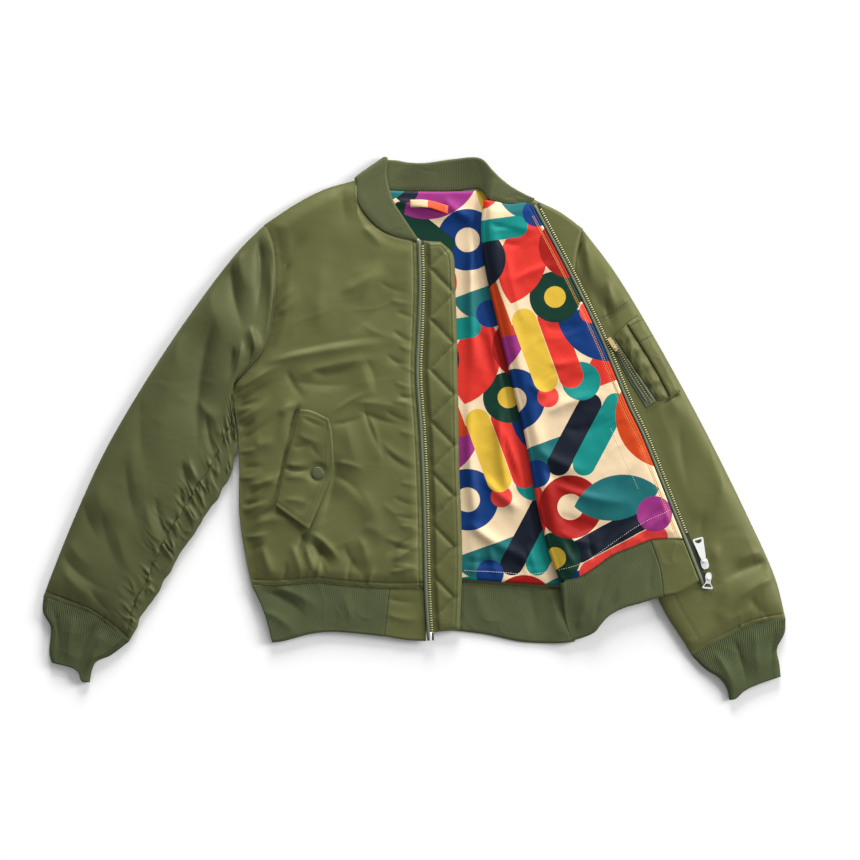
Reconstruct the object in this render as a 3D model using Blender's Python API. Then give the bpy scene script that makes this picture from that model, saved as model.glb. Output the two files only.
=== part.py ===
"""Padded nylon bomber jacket, laid flat on its back with its left front turned open.

Right and left are the wearer's. The jacket rests on the plane Z = 0. X runs from the wearer's
right to left, Y from hem to collar and Z up, with the origin under the middle of the outline.
Tables and sizes are in millimetres, and the meshes are in metres. The tables are drawn about a
point close to that origin, and the finished pieces are moved onto it.
"""

from collections import namedtuple
from math import cos, exp, pi, radians, sin

import bmesh
import bpy
from mathutils import Matrix, Vector

MM = 0.001
TABLES_MIDDLE = Vector((2.0, 1.38))  # the middle of the whole outline in the tables' millimetres

# Walls.
BACK_WALL = 6.0  # nylon over wadding, at its fullest
FRONT_WALL = 6.0
STRIP_WALL = 4.0  # the left front where it lies pressed under its own turned half
TURNED_WALL = 4.4
SLEEVE_WALL = 5.0
SEAM_WALL = 3.0  # padded cloth where a seam pinches it
PINCH_REACH = 24.0  # how far from a seam the wadding is full again
LINING_WALL = 1.0
RIB_WALL = 4.4  # rib knit, doubled
TAB_WALL = 3.8
COLLAR_WALL = 4.0
CUFF_WALL = 3.0
TAPE_WALL = 1.2
FLAP_WALL = 1.5
STORM_WALL = 2.7
GAP = 0.3  # between pieces at a seam, and between layers
SEAM_GAP = 0.35
HEM_GAP = 0.7  # at the turned front's hem, where rib and shell curve apart

# Levels, from the surface that the jacket lies on.
LINING_Z = BACK_WALL + GAP
FRONT_Z = LINING_Z + LINING_WALL + GAP
STRIP_Z = FRONT_Z + LINING_WALL + GAP
TURNED_Z = STRIP_Z + STRIP_WALL + GAP
TURNED_LINING_Z = TURNED_Z + TURNED_WALL + GAP
BAND_Z = RIB_WALL + GAP
TAPE_RIGHT_Z = FRONT_Z + STORM_WALL + GAP
SLEEVE_HIGH = TURNED_Z - GAP
CUFF_HIGH = 8.0

# How many facets run along the seams that two pieces share.
ARMHOLE_FACETS = 8
SIDE_FACETS = 6
CUFF_FACETS = 8
SIDE_SHARE = 0.54  # the side seam's part of a body panel's height, the armhole has the rest

NYLON = ((0.141, 0.147, 0.060), 0.45, 0.0)
RIB = ((0.110, 0.125, 0.055), 0.85, 0.0)
LINING = ((0.800, 0.640, 0.440), 0.60, 0.0)
TAPE = ((0.080, 0.090, 0.055), 0.80, 0.0)
SILVER = ((0.720, 0.740, 0.730), 0.30, 1.0)
BRASS = ((0.480, 0.340, 0.130), 0.35, 1.0)
ENAMEL = ((0.095, 0.110, 0.050), 0.40, 0.0)


def table(columns, *rows):
    """Rows with named columns."""
    row = namedtuple("Row", columns)
    return [row(*values) for values in rows]


# ---------------------------------------------------------------- outlines

SHOULDER_RIGHT = table("x y", (-193, 266), (-150, 294), (-114, 312), (-73, 324))
ARMHOLE_RIGHT = table(
    "x y", (-237, 54), (-212, 79), (-194, 103), (-185, 140), (-180, 190), (-183, 236), (-193, 266)
)
SIDE_RIGHT = table("x y", (-210, -203), (-217, -170), (-226, -110), (-226, -50), (-229, 0), (-237, 54))
NECK_RIGHT = table("x y", (-73, 324), (-71, 296), (-52, 269), (-30, 255), (0, 247), (5, 245))
CENTRE_RIGHT = table(
    "x y", (14, -207), (12, -99), (8, -6), (3, 70), (5, 130), (6.5, 185), (5, 245)
)
HEM_RIGHT = table("x y", (-210, -203), (-168, -203), (-126, -200), (-98, -203), (-38, -207), (14, -207))

SHOULDER_LEFT = table("x y", (100, 322), (131, 311), (160, 297), (191, 282), (221, 260))
ARMHOLE_LEFT = table(
    "x y", (266, 54), (243, 83), (224, 118), (214, 160), (211, 200), (214, 233), (221, 260)
)
SIDE_LEFT = table("x y", (238, -206), (246, -170), (253, -120), (256, -60), (258, -10), (266, 54))
NECK_BACK = table(
    "x y", (-73, 324), (-50, 313), (-26, 310), (8, 309), (52, 309), (85, 311), (100, 322)
)
HEM_BACK = table(
    "x y", (-210, -203), (-126, -202), (-38, -204), (64, -199), (114, -202), (172, -206), (238, -206)
)

# The left front turns over about this fold and lands on its own strip and on the left sleeve.
FOLD = table(
    "x y", (190, -197), (173, -148), (160, -92), (146, -14), (133, 40), (121, 90), (105, 157), (94, 207),
    (88, 259), (92, 297)
)
TURNED_NECK = table("x y", (92, 297), (104, 295.5), (126, 291.5), (146, 293.5), (157, 295.5))
TURNED_HEM = table(
    "x y", (190, -197), (216, -191), (239, -177), (257, -164), (286, -152), (311, -143), (338, -133)
)
ZIP_LEFT = table(
    "x y", (384, -201), (360, -140), (344, -100), (306, -5), (287, 35), (251, 122), (213, 201), (164, 294)
)
ZIP_LEFT_WIDTH = 10.5

WAIST_BACK_FOOT = table(
    "x y", (-183, -276), (-150, -270), (-108, -262), (-36, -268), (30, -262), (90, -267), (138, -277),
    (165, -279), (190, -279), (210, -277)
)
WAIST_RIGHT_FOOT = table(
    "x y", (-183, -278), (-168, -276), (-134, -267), (-108, -264), (-75, -266), (-38, -270)
)
TAB_RIGHT_FOOT = table("x y", (-38, -270), (-6, -275), (17, -276))
WAIST_SIDE_RIGHT = table("x y", (-183, -278), (-191, -247), (-199, -226), (-210, -203))
WAIST_SIDE_LEFT = table("x y", (210, -277), (228, -240), (238, -206))
TAB_SEAM_SHARE = 0.8  # where the rib meets its nylon end, along the right hem

WAIST_LEFT_FOLD = table("x y", (204, -276), (196, -240), (190.5, -200))
WAIST_LEFT_FOOT = table(
    "x y", (204, -276), (222, -271), (236, -264), (244, -254), (254, -243), (272, -233), (296, -226),
    (325, -217)
)
TAB_LEFT_SEAM = table("x y", (325, -217), (320, -180), (311, -143))
TAB_LEFT_FOOT = table("x y", (325, -217), (345, -213), (360, -205), (368, -201))

# ---------------------------------------------------------------- curves and surfaces


def smooth(points):
    """A curve through the points, read from 0 to 1 along its length."""
    spots = [Vector((point[0], point[1])) for point in points]
    knots = [0.0]
    for one, two in zip(spots, spots[1:]):
        knots.append(knots[-1] + (two - one).length)
    last = len(spots) - 1

    def slope(i):
        low, high = max(i - 1, 0), min(i + 1, last)
        return (spots[high] - spots[low]) / (knots[high] - knots[low])

    def at(t):
        reach = min(max(t, 0.0), 1.0) * knots[-1]
        i = next((k for k in range(last) if reach <= knots[k + 1]), last - 1)
        span = knots[i + 1] - knots[i]
        f = (reach - knots[i]) / span
        return (
            spots[i] * (2 * f**3 - 3 * f**2 + 1)
            + slope(i) * span * (f**3 - 2 * f**2 + f)
            + spots[i + 1] * (3 * f**2 - 2 * f**3)
            + slope(i + 1) * span * (f**3 - f**2)
        )

    return at


def faceted(curve, count):
    """The curve as count straight facets, which both pieces at a seam follow."""
    corners = [curve(k / count) for k in range(count + 1)]

    def at(t):
        k = min(int(max(t, 0.0) * count + 1e-9), count - 1)
        return corners[k].lerp(corners[k + 1], t * count - k)

    return at


def stations(points):
    """The straight line from point to point, with the same share of 0 to 1 for each stretch."""
    spots = [Vector((point[0], point[1])) for point in points]

    def at(t):
        k = min(int(max(t, 0.0) * (len(spots) - 1) + 1e-9), len(spots) - 2)
        return spots[k].lerp(spots[k + 1], t * (len(spots) - 1) - k)

    return at


def end_to_end(first, second, share):
    """Two curves as one, with the first over the given share of 0 to 1."""

    def at(t):
        return first(t / share) if t <= share else second((t - share) / (1 - share))

    return at


def offset(curve, distance):
    """The curve moved to its right by a distance, which may be a function of t."""

    def at(t):
        low, high = max(t - 0.004, 0.0), min(t + 0.004, 1.0)
        along = (curve(high) - curve(low)).normalized()
        far = distance(t) if callable(distance) else distance
        return curve(t) + Vector((along.y, -along.x)) * far

    return at


def bulge(curve, t):
    """How far a curve stands off the straight line between its ends."""
    return curve(t) - curve(0).lerp(curve(1), t)


def patch(foot, top, start, end, fade=1):
    """The surface between four edges: foot and top run along u, start and end along v.

    Where edges don't meet, it keeps to the foot and the top. A higher fade keeps the bulges of
    start and end closer to them."""

    def at(u, v):
        sides = bulge(start, v) * (1 - u) ** fade + bulge(end, v) * u**fade
        return foot(u).lerp(top(u), v) + sides

    return at


def ease(x):
    x = min(max(x, 0.0), 1.0)
    return x * x * (3 - 2 * x)


def edge_reach(surface, u, v, edges):
    """The distance from a point of a patch to the nearest of its named edges."""
    here = surface(u, v)
    across = {"start": (0, v), "end": (1, v), "foot": (u, 0), "top": (u, 1)}
    return min((surface(*across[edge]) - here).length for edge in edges)


def wadded(surface, full, edges, thin=SEAM_WALL):
    """The thickness of a padded wall: thin at the given seams and full inside them."""

    def at(u, v):
        return thin + (full - thin) * ease(edge_reach(surface, u, v, edges) / PINCH_REACH)

    return at


def relief(folds, x, y):
    """The height that long soft folds add at a place."""
    total = 0.0
    for fold in folds:
        along = Vector((fold.x1 - fold.x0, fold.y1 - fold.y0))
        place = Vector((x - fold.x0, y - fold.y0))
        share = place.dot(along) / along.length_squared
        off = abs(place.cross(along)) / along.length
        ends = ease(share * 3 + 0.5) * ease((1 - share) * 3 + 0.5)
        total += fold.high * exp(-((off / fold.wide) ** 2)) * ends
    return total


# ---------------------------------------------------------------- solids


def finish(name, bm, colour):
    """The mesh as a named object with its material."""
    bmesh.ops.recalc_face_normals(bm, faces=bm.faces[:])
    mesh = bpy.data.meshes.new(name)
    bm.to_mesh(mesh)
    bm.free()
    base, roughness, metallic = colour
    material = bpy.data.materials.new(name)
    material.use_nodes = True
    shader = material.node_tree.nodes["Principled BSDF"]
    shader.inputs["Base Color"].default_value = (*base, 1.0)
    shader.inputs["Roughness"].default_value = roughness
    shader.inputs["Metallic"].default_value = metallic
    mesh.materials.append(material)
    piece = bpy.data.objects.new(name, mesh)
    bpy.context.scene.collection.objects.link(piece)
    return piece


def wall(name, columns, rows, low, high, colour, ring=False):
    """A closed wall between two faces, low(u, v) and high(u, v), on a grid of columns and rows.

    A ring's last column is its first one."""
    bm = bmesh.new()
    across, along = len(columns) - 1, len(rows) - 1
    bmesh.ops.create_grid(bm, x_segments=across, y_segments=along, size=0.5)
    made = bmesh.ops.extrude_face_region(bm, geom=bm.faces[:])
    raised = {item for item in made["geom"] if isinstance(item, bmesh.types.BMVert)}
    if ring:
        ends = [f for f in bm.faces if abs(sum(v.co.x for v in f.verts)) > 0.4999 * len(f.verts)]
        bmesh.ops.delete(bm, geom=ends, context="FACES_ONLY")
    for vert in bm.verts:
        u = columns[round((vert.co.x + 0.5) * across)]
        v = rows[round((vert.co.y + 0.5) * along)]
        vert.co = Vector((high if vert in raised else low)(u, v)) * MM
    if ring:
        bmesh.ops.remove_doubles(bm, verts=bm.verts[:], dist=1e-6)
    return finish(name, bm, colour)


def slab(name, surface, columns, rows, level, thick, colour, folds=()):
    """A wall lying at a level, which may be a function of (u, v), as its thickness may."""

    def low(u, v):
        spot = surface(u, v)
        return spot.x, spot.y, level(u, v) if callable(level) else level

    def high(u, v):
        x, y, z = low(u, v)
        rise = thick(u, v) if callable(thick) else thick
        return x, y, z + rise + relief(folds, x, y)

    return wall(name, columns, rows, low, high, colour)


def steps(count, low=0.0, high=1.0):
    return [low + (high - low) * k / count for k in range(count + 1)]


def with_rims(inner, rim=0.02):
    """Columns that run from 0 to 1 with one more close to each end."""
    return [0.0, rim, *[x for x in inner if rim < x < 1 - rim], 1 - rim, 1.0]


BODY_ROWS = steps(SIDE_FACETS, 0, SIDE_SHARE) + steps(ARMHOLE_FACETS, SIDE_SHARE, 1)[1:]

# ---------------------------------------------------------------- back

SIDE_EDGE_RIGHT = end_to_end(
    faceted(smooth(SIDE_RIGHT), SIDE_FACETS), faceted(smooth(ARMHOLE_RIGHT), ARMHOLE_FACETS), SIDE_SHARE
)
SIDE_EDGE_LEFT = end_to_end(
    faceted(smooth(SIDE_LEFT), SIDE_FACETS), faceted(smooth(ARMHOLE_LEFT), ARMHOLE_FACETS), SIDE_SHARE
)
NECK_FROM, NECK_TO = 0.3, 0.7  # the neck's part of the back's width
BACK_COLUMNS = with_rims(
    steps(3, 0, NECK_FROM)[:-1] + steps(len(NECK_BACK) - 1, NECK_FROM, NECK_TO) + steps(3, NECK_TO, 1)[1:]
)
EDGE_LIFT = 1.2  # how far the underside rounds up at the panel's own edge


def back_top():
    """Right shoulder, neck and left shoulder as one edge."""
    neck_share = (NECK_TO - NECK_FROM) / (1 - NECK_FROM)
    onward = end_to_end(stations(NECK_BACK), smooth(SHOULDER_LEFT), neck_share)
    return end_to_end(smooth(SHOULDER_RIGHT), onward, NECK_FROM)


BACK = patch(smooth(HEM_BACK), back_top(), SIDE_EDGE_RIGHT, SIDE_EDGE_LEFT)


def make_back():
    fullness = wadded(BACK, BACK_WALL, ("start", "end", "foot", "top"), thin=RIB_WALL)

    def level(u, v):
        return EDGE_LIFT if u in (0.0, 1.0) else 0.0

    def thick(u, v):
        return fullness(u, v) - level(u, v)

    slab("back_shell", BACK, BACK_COLUMNS, BODY_ROWS, level, thick, NYLON)
    columns = steps(8, 0.02, 0.98)
    rows = steps(10, 0.006, 0.994)
    slab("back_lining", BACK, columns, rows, LINING_Z, LINING_WALL, LINING)


def make_hanger():
    loop = patch(
        smooth([(-4, 288), (20, 287), (45, 279)]),
        smooth([(-4, 298), (20, 297), (46, 290)]),
        smooth([(-4, 288), (-4, 298)]),
        smooth([(45, 279), (46, 290)]),
    )
    slab("hanger_loop", loop, steps(4), steps(1), FRONT_Z, 1.4, LINING)


# ---------------------------------------------------------------- right front

FRONT_NECK_FROM = 0.5
FRONT_COLUMNS = with_rims(steps(10))
FRONT_TOP = end_to_end(smooth(SHOULDER_RIGHT), stations(NECK_RIGHT), FRONT_NECK_FROM)
CENTRE = smooth(CENTRE_RIGHT)
FRONT_FOOT = faceted(smooth(HEM_RIGHT), 10)
FRONT = patch(FRONT_FOOT, FRONT_TOP, SIDE_EDGE_RIGHT, CENTRE, fade=3)
FRONT_FOLDS = table(
    "x0 y0 x1 y1 wide high",
    (-215, 70, -140, 120, 16, 1.6),
    (-205, 20, -120, 75, 18, 1.4),
    (-190, 150, -120, 210, 22, 1.2),
    (-60, 60, -20, 170, 20, 1.2),
    (-200, -150, -110, -170, 16, 1.6),
    (-90, -150, -10, -165, 16, 1.4),
)


def make_right_front():
    fullness = wadded(FRONT, FRONT_WALL, ("start", "end", "foot", "top"))
    slab("front_right_shell", FRONT, FRONT_COLUMNS, BODY_ROWS, FRONT_Z, fullness, NYLON, FRONT_FOLDS)


POCKET_FLAP = patch(
    smooth([(-178, -100), (-156, -116), (-135, -131)]),
    smooth([(-146, 26), (-132, 24), (-109, 13)]),
    smooth([(-178, -100), (-164, -39), (-146, 26)]),
    smooth([(-135, -131), (-104, -56), (-103, -40), (-105, -5), (-109, 13)]),
)
SNAP_AT = (-123.5, -57)
SNAP_CAP = table("r z", (0, 0), (7.4, 0), (8, 0.5), (7.9, 1.1), (7.0, 1.9), (4.0, 2.3), (0, 2.4))


def turned(name, profile, x, y, z, colour, sides=24):
    """A profile of radii and heights, spun about a vertical axis."""
    bm = bmesh.new()
    rim = [bm.verts.new(((x + row.r) * MM, y * MM, (z + row.z) * MM)) for row in profile]
    edges = [bm.edges.new(pair) for pair in zip(rim, rim[1:])]
    bmesh.ops.spin(
        bm, geom=rim + edges, cent=(x * MM, y * MM, 0), axis=(0, 0, 1), angle=2 * pi, steps=sides,
        use_merge=True
    )
    bmesh.ops.remove_doubles(bm, verts=bm.verts[:], dist=1e-6)
    return finish(name, bm, colour)


def make_hand_pocket():
    level = FRONT_Z + FRONT_WALL + GAP + POCKET_CLEAR
    slab("pocket_flap_right", POCKET_FLAP, steps(3), steps(5), level, FLAP_WALL, NYLON)
    turned("snap_cap_right", SNAP_CAP, *SNAP_AT, level + FLAP_WALL + GAP, ENAMEL)


POCKET_CLEAR = 0.5  # the flap rides this much over the panel's own swell

# ---------------------------------------------------------------- front closure, right side

ZIP_RIGHT_WIDTH = 9.0
WAIST_FOOT_Y = -275.0
STORM_EDGE = table(
    "x y", (61, -261), (64, -169), (60.5, -52), (58.5, 48), (57, 130), (54.5, 190), (52, 227), (36, 243.5)
)
STORM_COLUMNS = (0.0, 0.33, 0.67, 1.0)


def make_closure():
    """Storm flap under the teeth, and the tape that carries them."""
    edge = smooth([(18, WAIST_FOOT_Y), (14.3, -207), *[tuple(row) for row in CENTRE_RIGHT[1:]]])
    tape_inner = offset(edge, GAP)
    tape_outer = offset(edge, GAP + ZIP_RIGHT_WIDTH)
    ends = smooth([tape_inner(0), tape_outer(0)]), smooth([tape_inner(1), tape_outer(1)])
    tape = patch(*ends, tape_inner, tape_outer)
    slab("zip_tape_right", tape, steps(1), steps(16), TAPE_RIGHT_Z, TAPE_WALL, TAPE)

    hidden = offset(edge, 5.0)
    start = lambda t: hidden(0.02 + 0.98 * t)
    outer = smooth(STORM_EDGE)
    flap = patch(
        smooth([start(0), (40, -263), outer(0)]),
        smooth([start(1), (24, 244), outer(1)]),
        start,
        outer,
    )
    slab("storm_flap", flap, STORM_COLUMNS, steps(18), FRONT_Z, STORM_WALL, NYLON)


def make_zip_pin():
    """The metal pin that ends the right tape."""
    bar = patch(
        smooth([(21.5, -275), (24.5, -275)]),
        smooth([(21.5, -264), (24.5, -264)]),
        smooth([(21.5, -275), (21.5, -264)]),
        smooth([(24.5, -275), (24.5, -264)]),
    )
    slab("zip_pin_right", bar, steps(1), steps(2), TAPE_RIGHT_Z + TAPE_WALL + GAP, 2.0, SILVER)


# ---------------------------------------------------------------- left front, turned over

LINING_LIP = 14.0  # how far the lining goes on under the fold


class Turn:
    """The round of the fold: lower and upper level of a wall's outside, about a shared fold line."""

    def __init__(self, line, low, high):
        self.line, self.low, self.high = line, low, high

    def inward(self, v):
        """The direction from the fold line to the cloth behind it."""
        along = (self.line(min(v + 0.01, 1)) - self.line(max(v - 0.01, 0))).normalized()
        return Vector((along.y, -along.x))

    def centre(self, v):
        spot = self.line(v) + self.inward(v) * self.radius(v)
        return spot, (self.low(v) + self.high(v)) / 2

    def radius(self, v):
        return (self.high(v) - self.low(v)) / 2

    def at(self, f, v, depth):
        """A point of the round, from its underside at f = 0 to its top at f = 1."""
        spot, middle = self.centre(v)
        angle = (f - 0.5) * pi
        far = self.radius(v) - depth
        out = spot - self.inward(v) * far * cos(angle)
        return out.x, out.y, middle + far * sin(angle)


def folded_wall(name, turn, under, over, legs, rows, thick, colour, thick_over=None, rise=None):
    """A C of cloth: under panel, round and upper panel, from column -1 through 0..1 to 2.

    under and over are patches whose start is the round's centre line. The upper panel lies at the
    round's top plus rise(u, v)."""
    thick_over = thick_over or (lambda u, v: thick)
    rise = rise or (lambda u, v: 0.0)

    def place(u, v, depth):
        if u < 0:
            spot = under(-u, v)
            return spot.x, spot.y, turn.low(v) + depth
        if u <= 1:
            return turn.at(u, v, depth)
        spot = over(u - 1, v)
        return spot.x, spot.y, turn.high(v) - depth + rise(u - 1, v)

    def outside(u, v):
        return place(u, v, 0.0)

    def inside(u, v):
        return place(u, v, thick_over(u - 1, v) if u > 1 else thick)

    return wall(name, legs, rows, inside, outside, colour)


def round_edge(turn):
    return lambda v: turn.centre(v)[0]


LINING_FOLD = smooth(FOLD)
SHELL_FOLD = offset(LINING_FOLD, LINING_WALL + GAP)
LEFT_TURN = Turn(SHELL_FOLD, lambda v: STRIP_Z, lambda v: TURNED_Z + TURNED_WALL)
LINING_TURN = Turn(LINING_FOLD, lambda v: FRONT_Z, lambda v: TURNED_LINING_Z + LINING_WALL)
ZIP_EDGE_LEFT = smooth(ZIP_LEFT)
SHELL_EDGE_LEFT = offset(ZIP_EDGE_LEFT, -ZIP_LEFT_WIDTH)
UPPER_COLUMNS = [0.125, 0.25, 0.375, 0.5, 0.625, 0.75, 0.875, 0.96, 1.0]
LINING_FOLDS = table(
    "x0 y0 x1 y1 wide high",
    (130, 200, 175, 120, 18, 1.2),
    (175, 40, 230, 0, 18, 1.2),
    (200, -90, 260, -120, 18, 1.4),
)


def turned_panel(turn):
    """The upper half of the turned front, from the round's centre to the zip."""
    start = round_edge(turn)
    end = lambda v: SHELL_EDGE_LEFT(SHELL_HEM_AT + (1 - SHELL_HEM_AT) * v)
    return patch(TURNED_SEAM, stations(TURNED_NECK_EDGE), start, end)


SHELL_HEM_AT = 0.125  # where the hem seam meets the zip, along the zip's length from its foot
TURNED_FACETS = 8
TURNED_SEAM = faceted(
    smooth([LEFT_TURN.centre(0)[0], *TURNED_HEM[1:-1], SHELL_EDGE_LEFT(SHELL_HEM_AT)]), TURNED_FACETS
)
TURNED_NECK_EDGE = [LEFT_TURN.centre(1)[0], *TURNED_NECK[1:-1], SHELL_EDGE_LEFT(1)]
TURNED_TAB_SHARE = 6 / TURNED_FACETS  # where the rib meets its nylon end, along the left hem


def make_left_front():
    start = round_edge(LEFT_TURN)
    hem = smooth([start(0), (214, -202), SIDE_EDGE_LEFT(0)])
    neck_point = Vector((100, 320))
    top = end_to_end(smooth([start(1), neck_point]), smooth([neck_point, *SHOULDER_LEFT[1:]]), 0.2)
    strip = patch(hem, top, start, SIDE_EDGE_LEFT)
    over = turned_panel(LEFT_TURN)
    pinch = wadded(over, TURNED_WALL, ("end", "foot", "top"))
    legs = [-1.0, -0.8, -0.6, -0.4, -0.2, 0.0, 0.25, 0.5, 0.75, 1.0]
    legs += [1 + u for u in UPPER_COLUMNS]
    folded_wall("front_left_shell", LEFT_TURN, strip, over, legs, BODY_ROWS, STRIP_WALL, NYLON, pinch)

    start = round_edge(LINING_TURN)
    far = offset(start, LINING_LIP)
    lip = patch(smooth([start(0), far(0)]), smooth([start(1), far(1)]), start, far)
    legs = [-1.0, 0.0, 0.2, 0.4, 0.6, 0.8, 1.0] + [1 + u for u in UPPER_COLUMNS]
    folded_wall(
        "front_left_lining", LINING_TURN, lip, turned_panel(LINING_TURN), legs, BODY_ROWS, LINING_WALL,
        LINING
    )


def make_left_tape():
    """The tape with its teeth beyond the left front's edge, narrower beside the sliders."""
    inner = offset(ZIP_EDGE_LEFT, -ZIP_LEFT_WIDTH + HEM_GAP)
    outer = offset(ZIP_EDGE_LEFT, lambda t: -4.0 if t < SLIDER_SHARE else 0.0)
    foot = smooth([inner(0), outer(0)])
    top = smooth([inner(1), outer(1)])
    tape = patch(foot, top, inner, outer)
    rows = [0, 0.05, SLIDER_SHARE - 0.002, SLIDER_SHARE] + steps(14, SLIDER_SHARE, 1)[1:]
    slab("zip_tape_left", tape, steps(1), rows, TURNED_Z + 0.4, TAPE_WALL, TAPE)


SLIDER_SHARE = 0.1  # the sliders' part of the left zip's length, at its foot

# ---------------------------------------------------------------- sleeves and cuffs

SLEEVE_RIGHT = table(
    "outer_x outer_y inner_x inner_y seam",
    (-193.5, 266, -238.8, 55.2, 10),
    (-228, 231, -241, 22, 24),
    (-286, 155, -234, -30, 31),
    (-343, 70, -250, -86, 31),
    (-399, -25, -287, -142, 30),
    (-438, -109, -325, -204, 26),
    (-468, -183, -352, -250, 18),
    (-481, -218, -370, -277, 6),
)
SLEEVE_LEFT = table(
    "outer_x outer_y inner_x inner_y seam",
    (221.5, 260, 267.8, 55.2, 10),
    (260, 208, 271, 20, 18),
    (298, 147, 272, -40, 24),
    (345, 64, 276, -100, 25),
    (389, -19, 289, -158, 24),
    (437, -117, 317, -220, 21),
    (471, -193, 337, -255, 19),
    (485, -247, 363, -295, 17),
)
CUFF_SEAM_RIGHT = table("x y", (-370, -277), (-398, -254), (-421, -239), (-448, -229), (-481, -218))
CUFF_SEAM_LEFT = table("x y", (363, -295), (382, -283), (411, -269), (434, -257), (461, -250), (485, -247))
SLEEVE_ROWS = [0.0, 0.02, 0.06, 0.12, 0.22, 0.34, 0.46, 0.58, 0.7, 0.82, 0.92, 1.0]
SLEEVE_FOLDS_RIGHT = table(
    "x0 y0 x1 y1 wide high",
    (-215, 240, -205, 90, 14, -1.6),
    (-236, 230, -232, 110, 14, 1.8),
    (-300, 60, -262, 20, 15, 1.8),
    (-350, -70, -290, -100, 16, 2.0),
    (-420, -120, -340, -160, 18, 2.0),
    (-450, -190, -380, -215, 16, 1.8),
)
SLEEVE_FOLDS_LEFT = table(
    "x0 y0 x1 y1 wide high",
    (245, 190, 262, 160, 14, 1.0),
    (400, -90, 430, -160, 20, 1.2),
    (400, -240, 470, -210, 16, 1.2),
)
UNDER_SEAM = 22.0  # the under sleeve's hidden seam, inside the outer edge


ARMPIT_REACH, ARMHOLE_REACH = 0.03, 0.18  # how far down the sleeve the armhole's curve still shows


def sleeve_surface(armhole, cuff_seam, inner, outer):
    """Straight rows from the inner to the outer edge, bent to the armhole at one end and to the
    cuff's seam at the other."""

    def at(u, v):
        reach = ARMPIT_REACH + (ARMHOLE_REACH - ARMPIT_REACH) * ease(u / 0.35)
        near = max(0.0, 1 - v / reach) ** 2
        row = inner(v).lerp(outer(v), u)
        return row + bulge(armhole, u) * near + bulge(cuff_seam, u) * v**3

    return at


def tube_point(surface, high, w, v, depth):
    """A point of a flattened tube: w runs 0 to 1 along its underside from the inner edge, 1 to 2
    round the outer edge, 2 to 3 back along the top and 3 to 4 round the inner edge."""
    length = (surface(1, v) - surface(0, v)).length
    tall = high(v)
    r = tall / 2
    leg = min(int(w), 3)
    f = w - leg
    if leg in (0, 2):
        share = f if leg == 0 else 1 - f
        across = min(max(share * length, r), length - r)
        z = depth if leg == 0 else tall - depth
    else:
        angle = (f - 0.5) * pi
        swing = (r - depth) * cos(angle)
        across = length - r + swing if leg == 1 else r - swing
        z = r + (r - depth) * sin(angle) * (1 if leg == 1 else -1)
    spot = surface(across / length, v)
    return spot.x, spot.y, z


def tube_wall(name, surface, high, columns, rows, thick, colour, ring=False, folds=()):
    """Part of a flattened tube, or all round it. A column may be a function of v."""

    def face(w, v, depth):
        w = w(v) if callable(w) else w
        x, y, z = tube_point(surface, high, w, v, depth)
        return x, y, z + (relief(folds, x, y) if 2 < w < 3 else 0.0)

    def inside(w, v):
        return face(w, v, thick)

    def outside(w, v):
        return face(w, v, 0.0)

    return wall(name, columns, rows, inside, outside, colour, ring)


def make_sleeve(side, rails, armhole, cuff_seam, folds):
    """Top sleeve over the outer edge and under sleeve over the inner edge."""
    outer = smooth([(row.outer_x, row.outer_y) for row in rails])
    inner = smooth([(row.inner_x, row.inner_y) for row in rails])
    seam = smooth([(k, row.seam) for k, row in enumerate(rails)])
    out = SEAM_GAP if side == "left" else -SEAM_GAP
    start = offset(faceted(smooth(armhole), ARMHOLE_FACETS), out)
    surface = sleeve_surface(start, faceted(smooth(cuff_seam), CUFF_FACETS), inner, outer)
    high = lambda v: SLEEVE_HIGH

    def across(distance, v):
        """The share of the sleeve's width that a distance from one edge makes."""
        return distance / (surface(1, v) - surface(0, v)).length

    def on_top(extra):
        return lambda v: 3 - across(seam(v).y + extra, v)

    def below(extra):
        return lambda v: 1 - across(UNDER_SEAM + extra, v)

    flats = steps(ARMHOLE_FACETS)[1:-1]
    top = [below(0), 1.0, 1.25, 1.5, 1.75, 2.0, *[2 + f for f in flats[:-1]], on_top(GAP)]
    tube_wall(f"sleeve_{side}_top", surface, high, top, SLEEVE_ROWS, SLEEVE_WALL, NYLON, folds=folds)
    under = [on_top(0), 3.0, 3.25, 3.5, 3.75, 3.9999]
    under += [f for f in flats[:-1]] + [below(GAP)]
    tube_wall(f"sleeve_{side}_under", surface, high, under, SLEEVE_ROWS, SLEEVE_WALL, NYLON)


CUFF_RIGHT = {
    "mouth": table("x y", (-421, -330), (-431, -328), (-436, -316), (-446, -310), (-471, -304)),
    "inner": table("x y", (-370, -277), (-394, -295), (-412, -303), (-418, -314), (-421, -330)),
    "outer": table("x y", (-481, -218), (-482, -238), (-472, -258), (-474, -290), (-471, -304)),
}
CUFF_LEFT = {
    "mouth": table("x y", (412, -353), (420, -351), (431, -341), (447, -333), (479, -322)),
    "inner": table("x y", (363, -295), (381, -313), (398, -324), (408, -337), (412, -353)),
    "outer": table("x y", (485, -247), (484, -265), (474, -287), (477, -305), (479, -322)),
}


def make_cuff(side, outline, seam):
    """Rib ring sewn to the sleeve's end, flattened and a little twisted."""
    away = SEAM_GAP if side == "left" else -SEAM_GAP
    surface = patch(
        offset(faceted(smooth(seam), CUFF_FACETS), away),
        smooth(outline["mouth"]),
        smooth(outline["inner"]),
        smooth(outline["outer"]),
    )
    high = lambda v: SLEEVE_HIGH + (CUFF_HIGH - SLEEVE_HIGH) * ease(v * 3)
    flats = steps(CUFF_FACETS)[1:-1]
    columns = [0.0, *flats, 1.0, 1.33, 1.67, 2.0, *[2 + f for f in flats], 3.0, 3.33, 3.67, 4.0]
    tube_wall(f"cuff_{side}", surface, high, columns, steps(4), CUFF_WALL, RIB, ring=True)


# ---------------------------------------------------------------- collar

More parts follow.
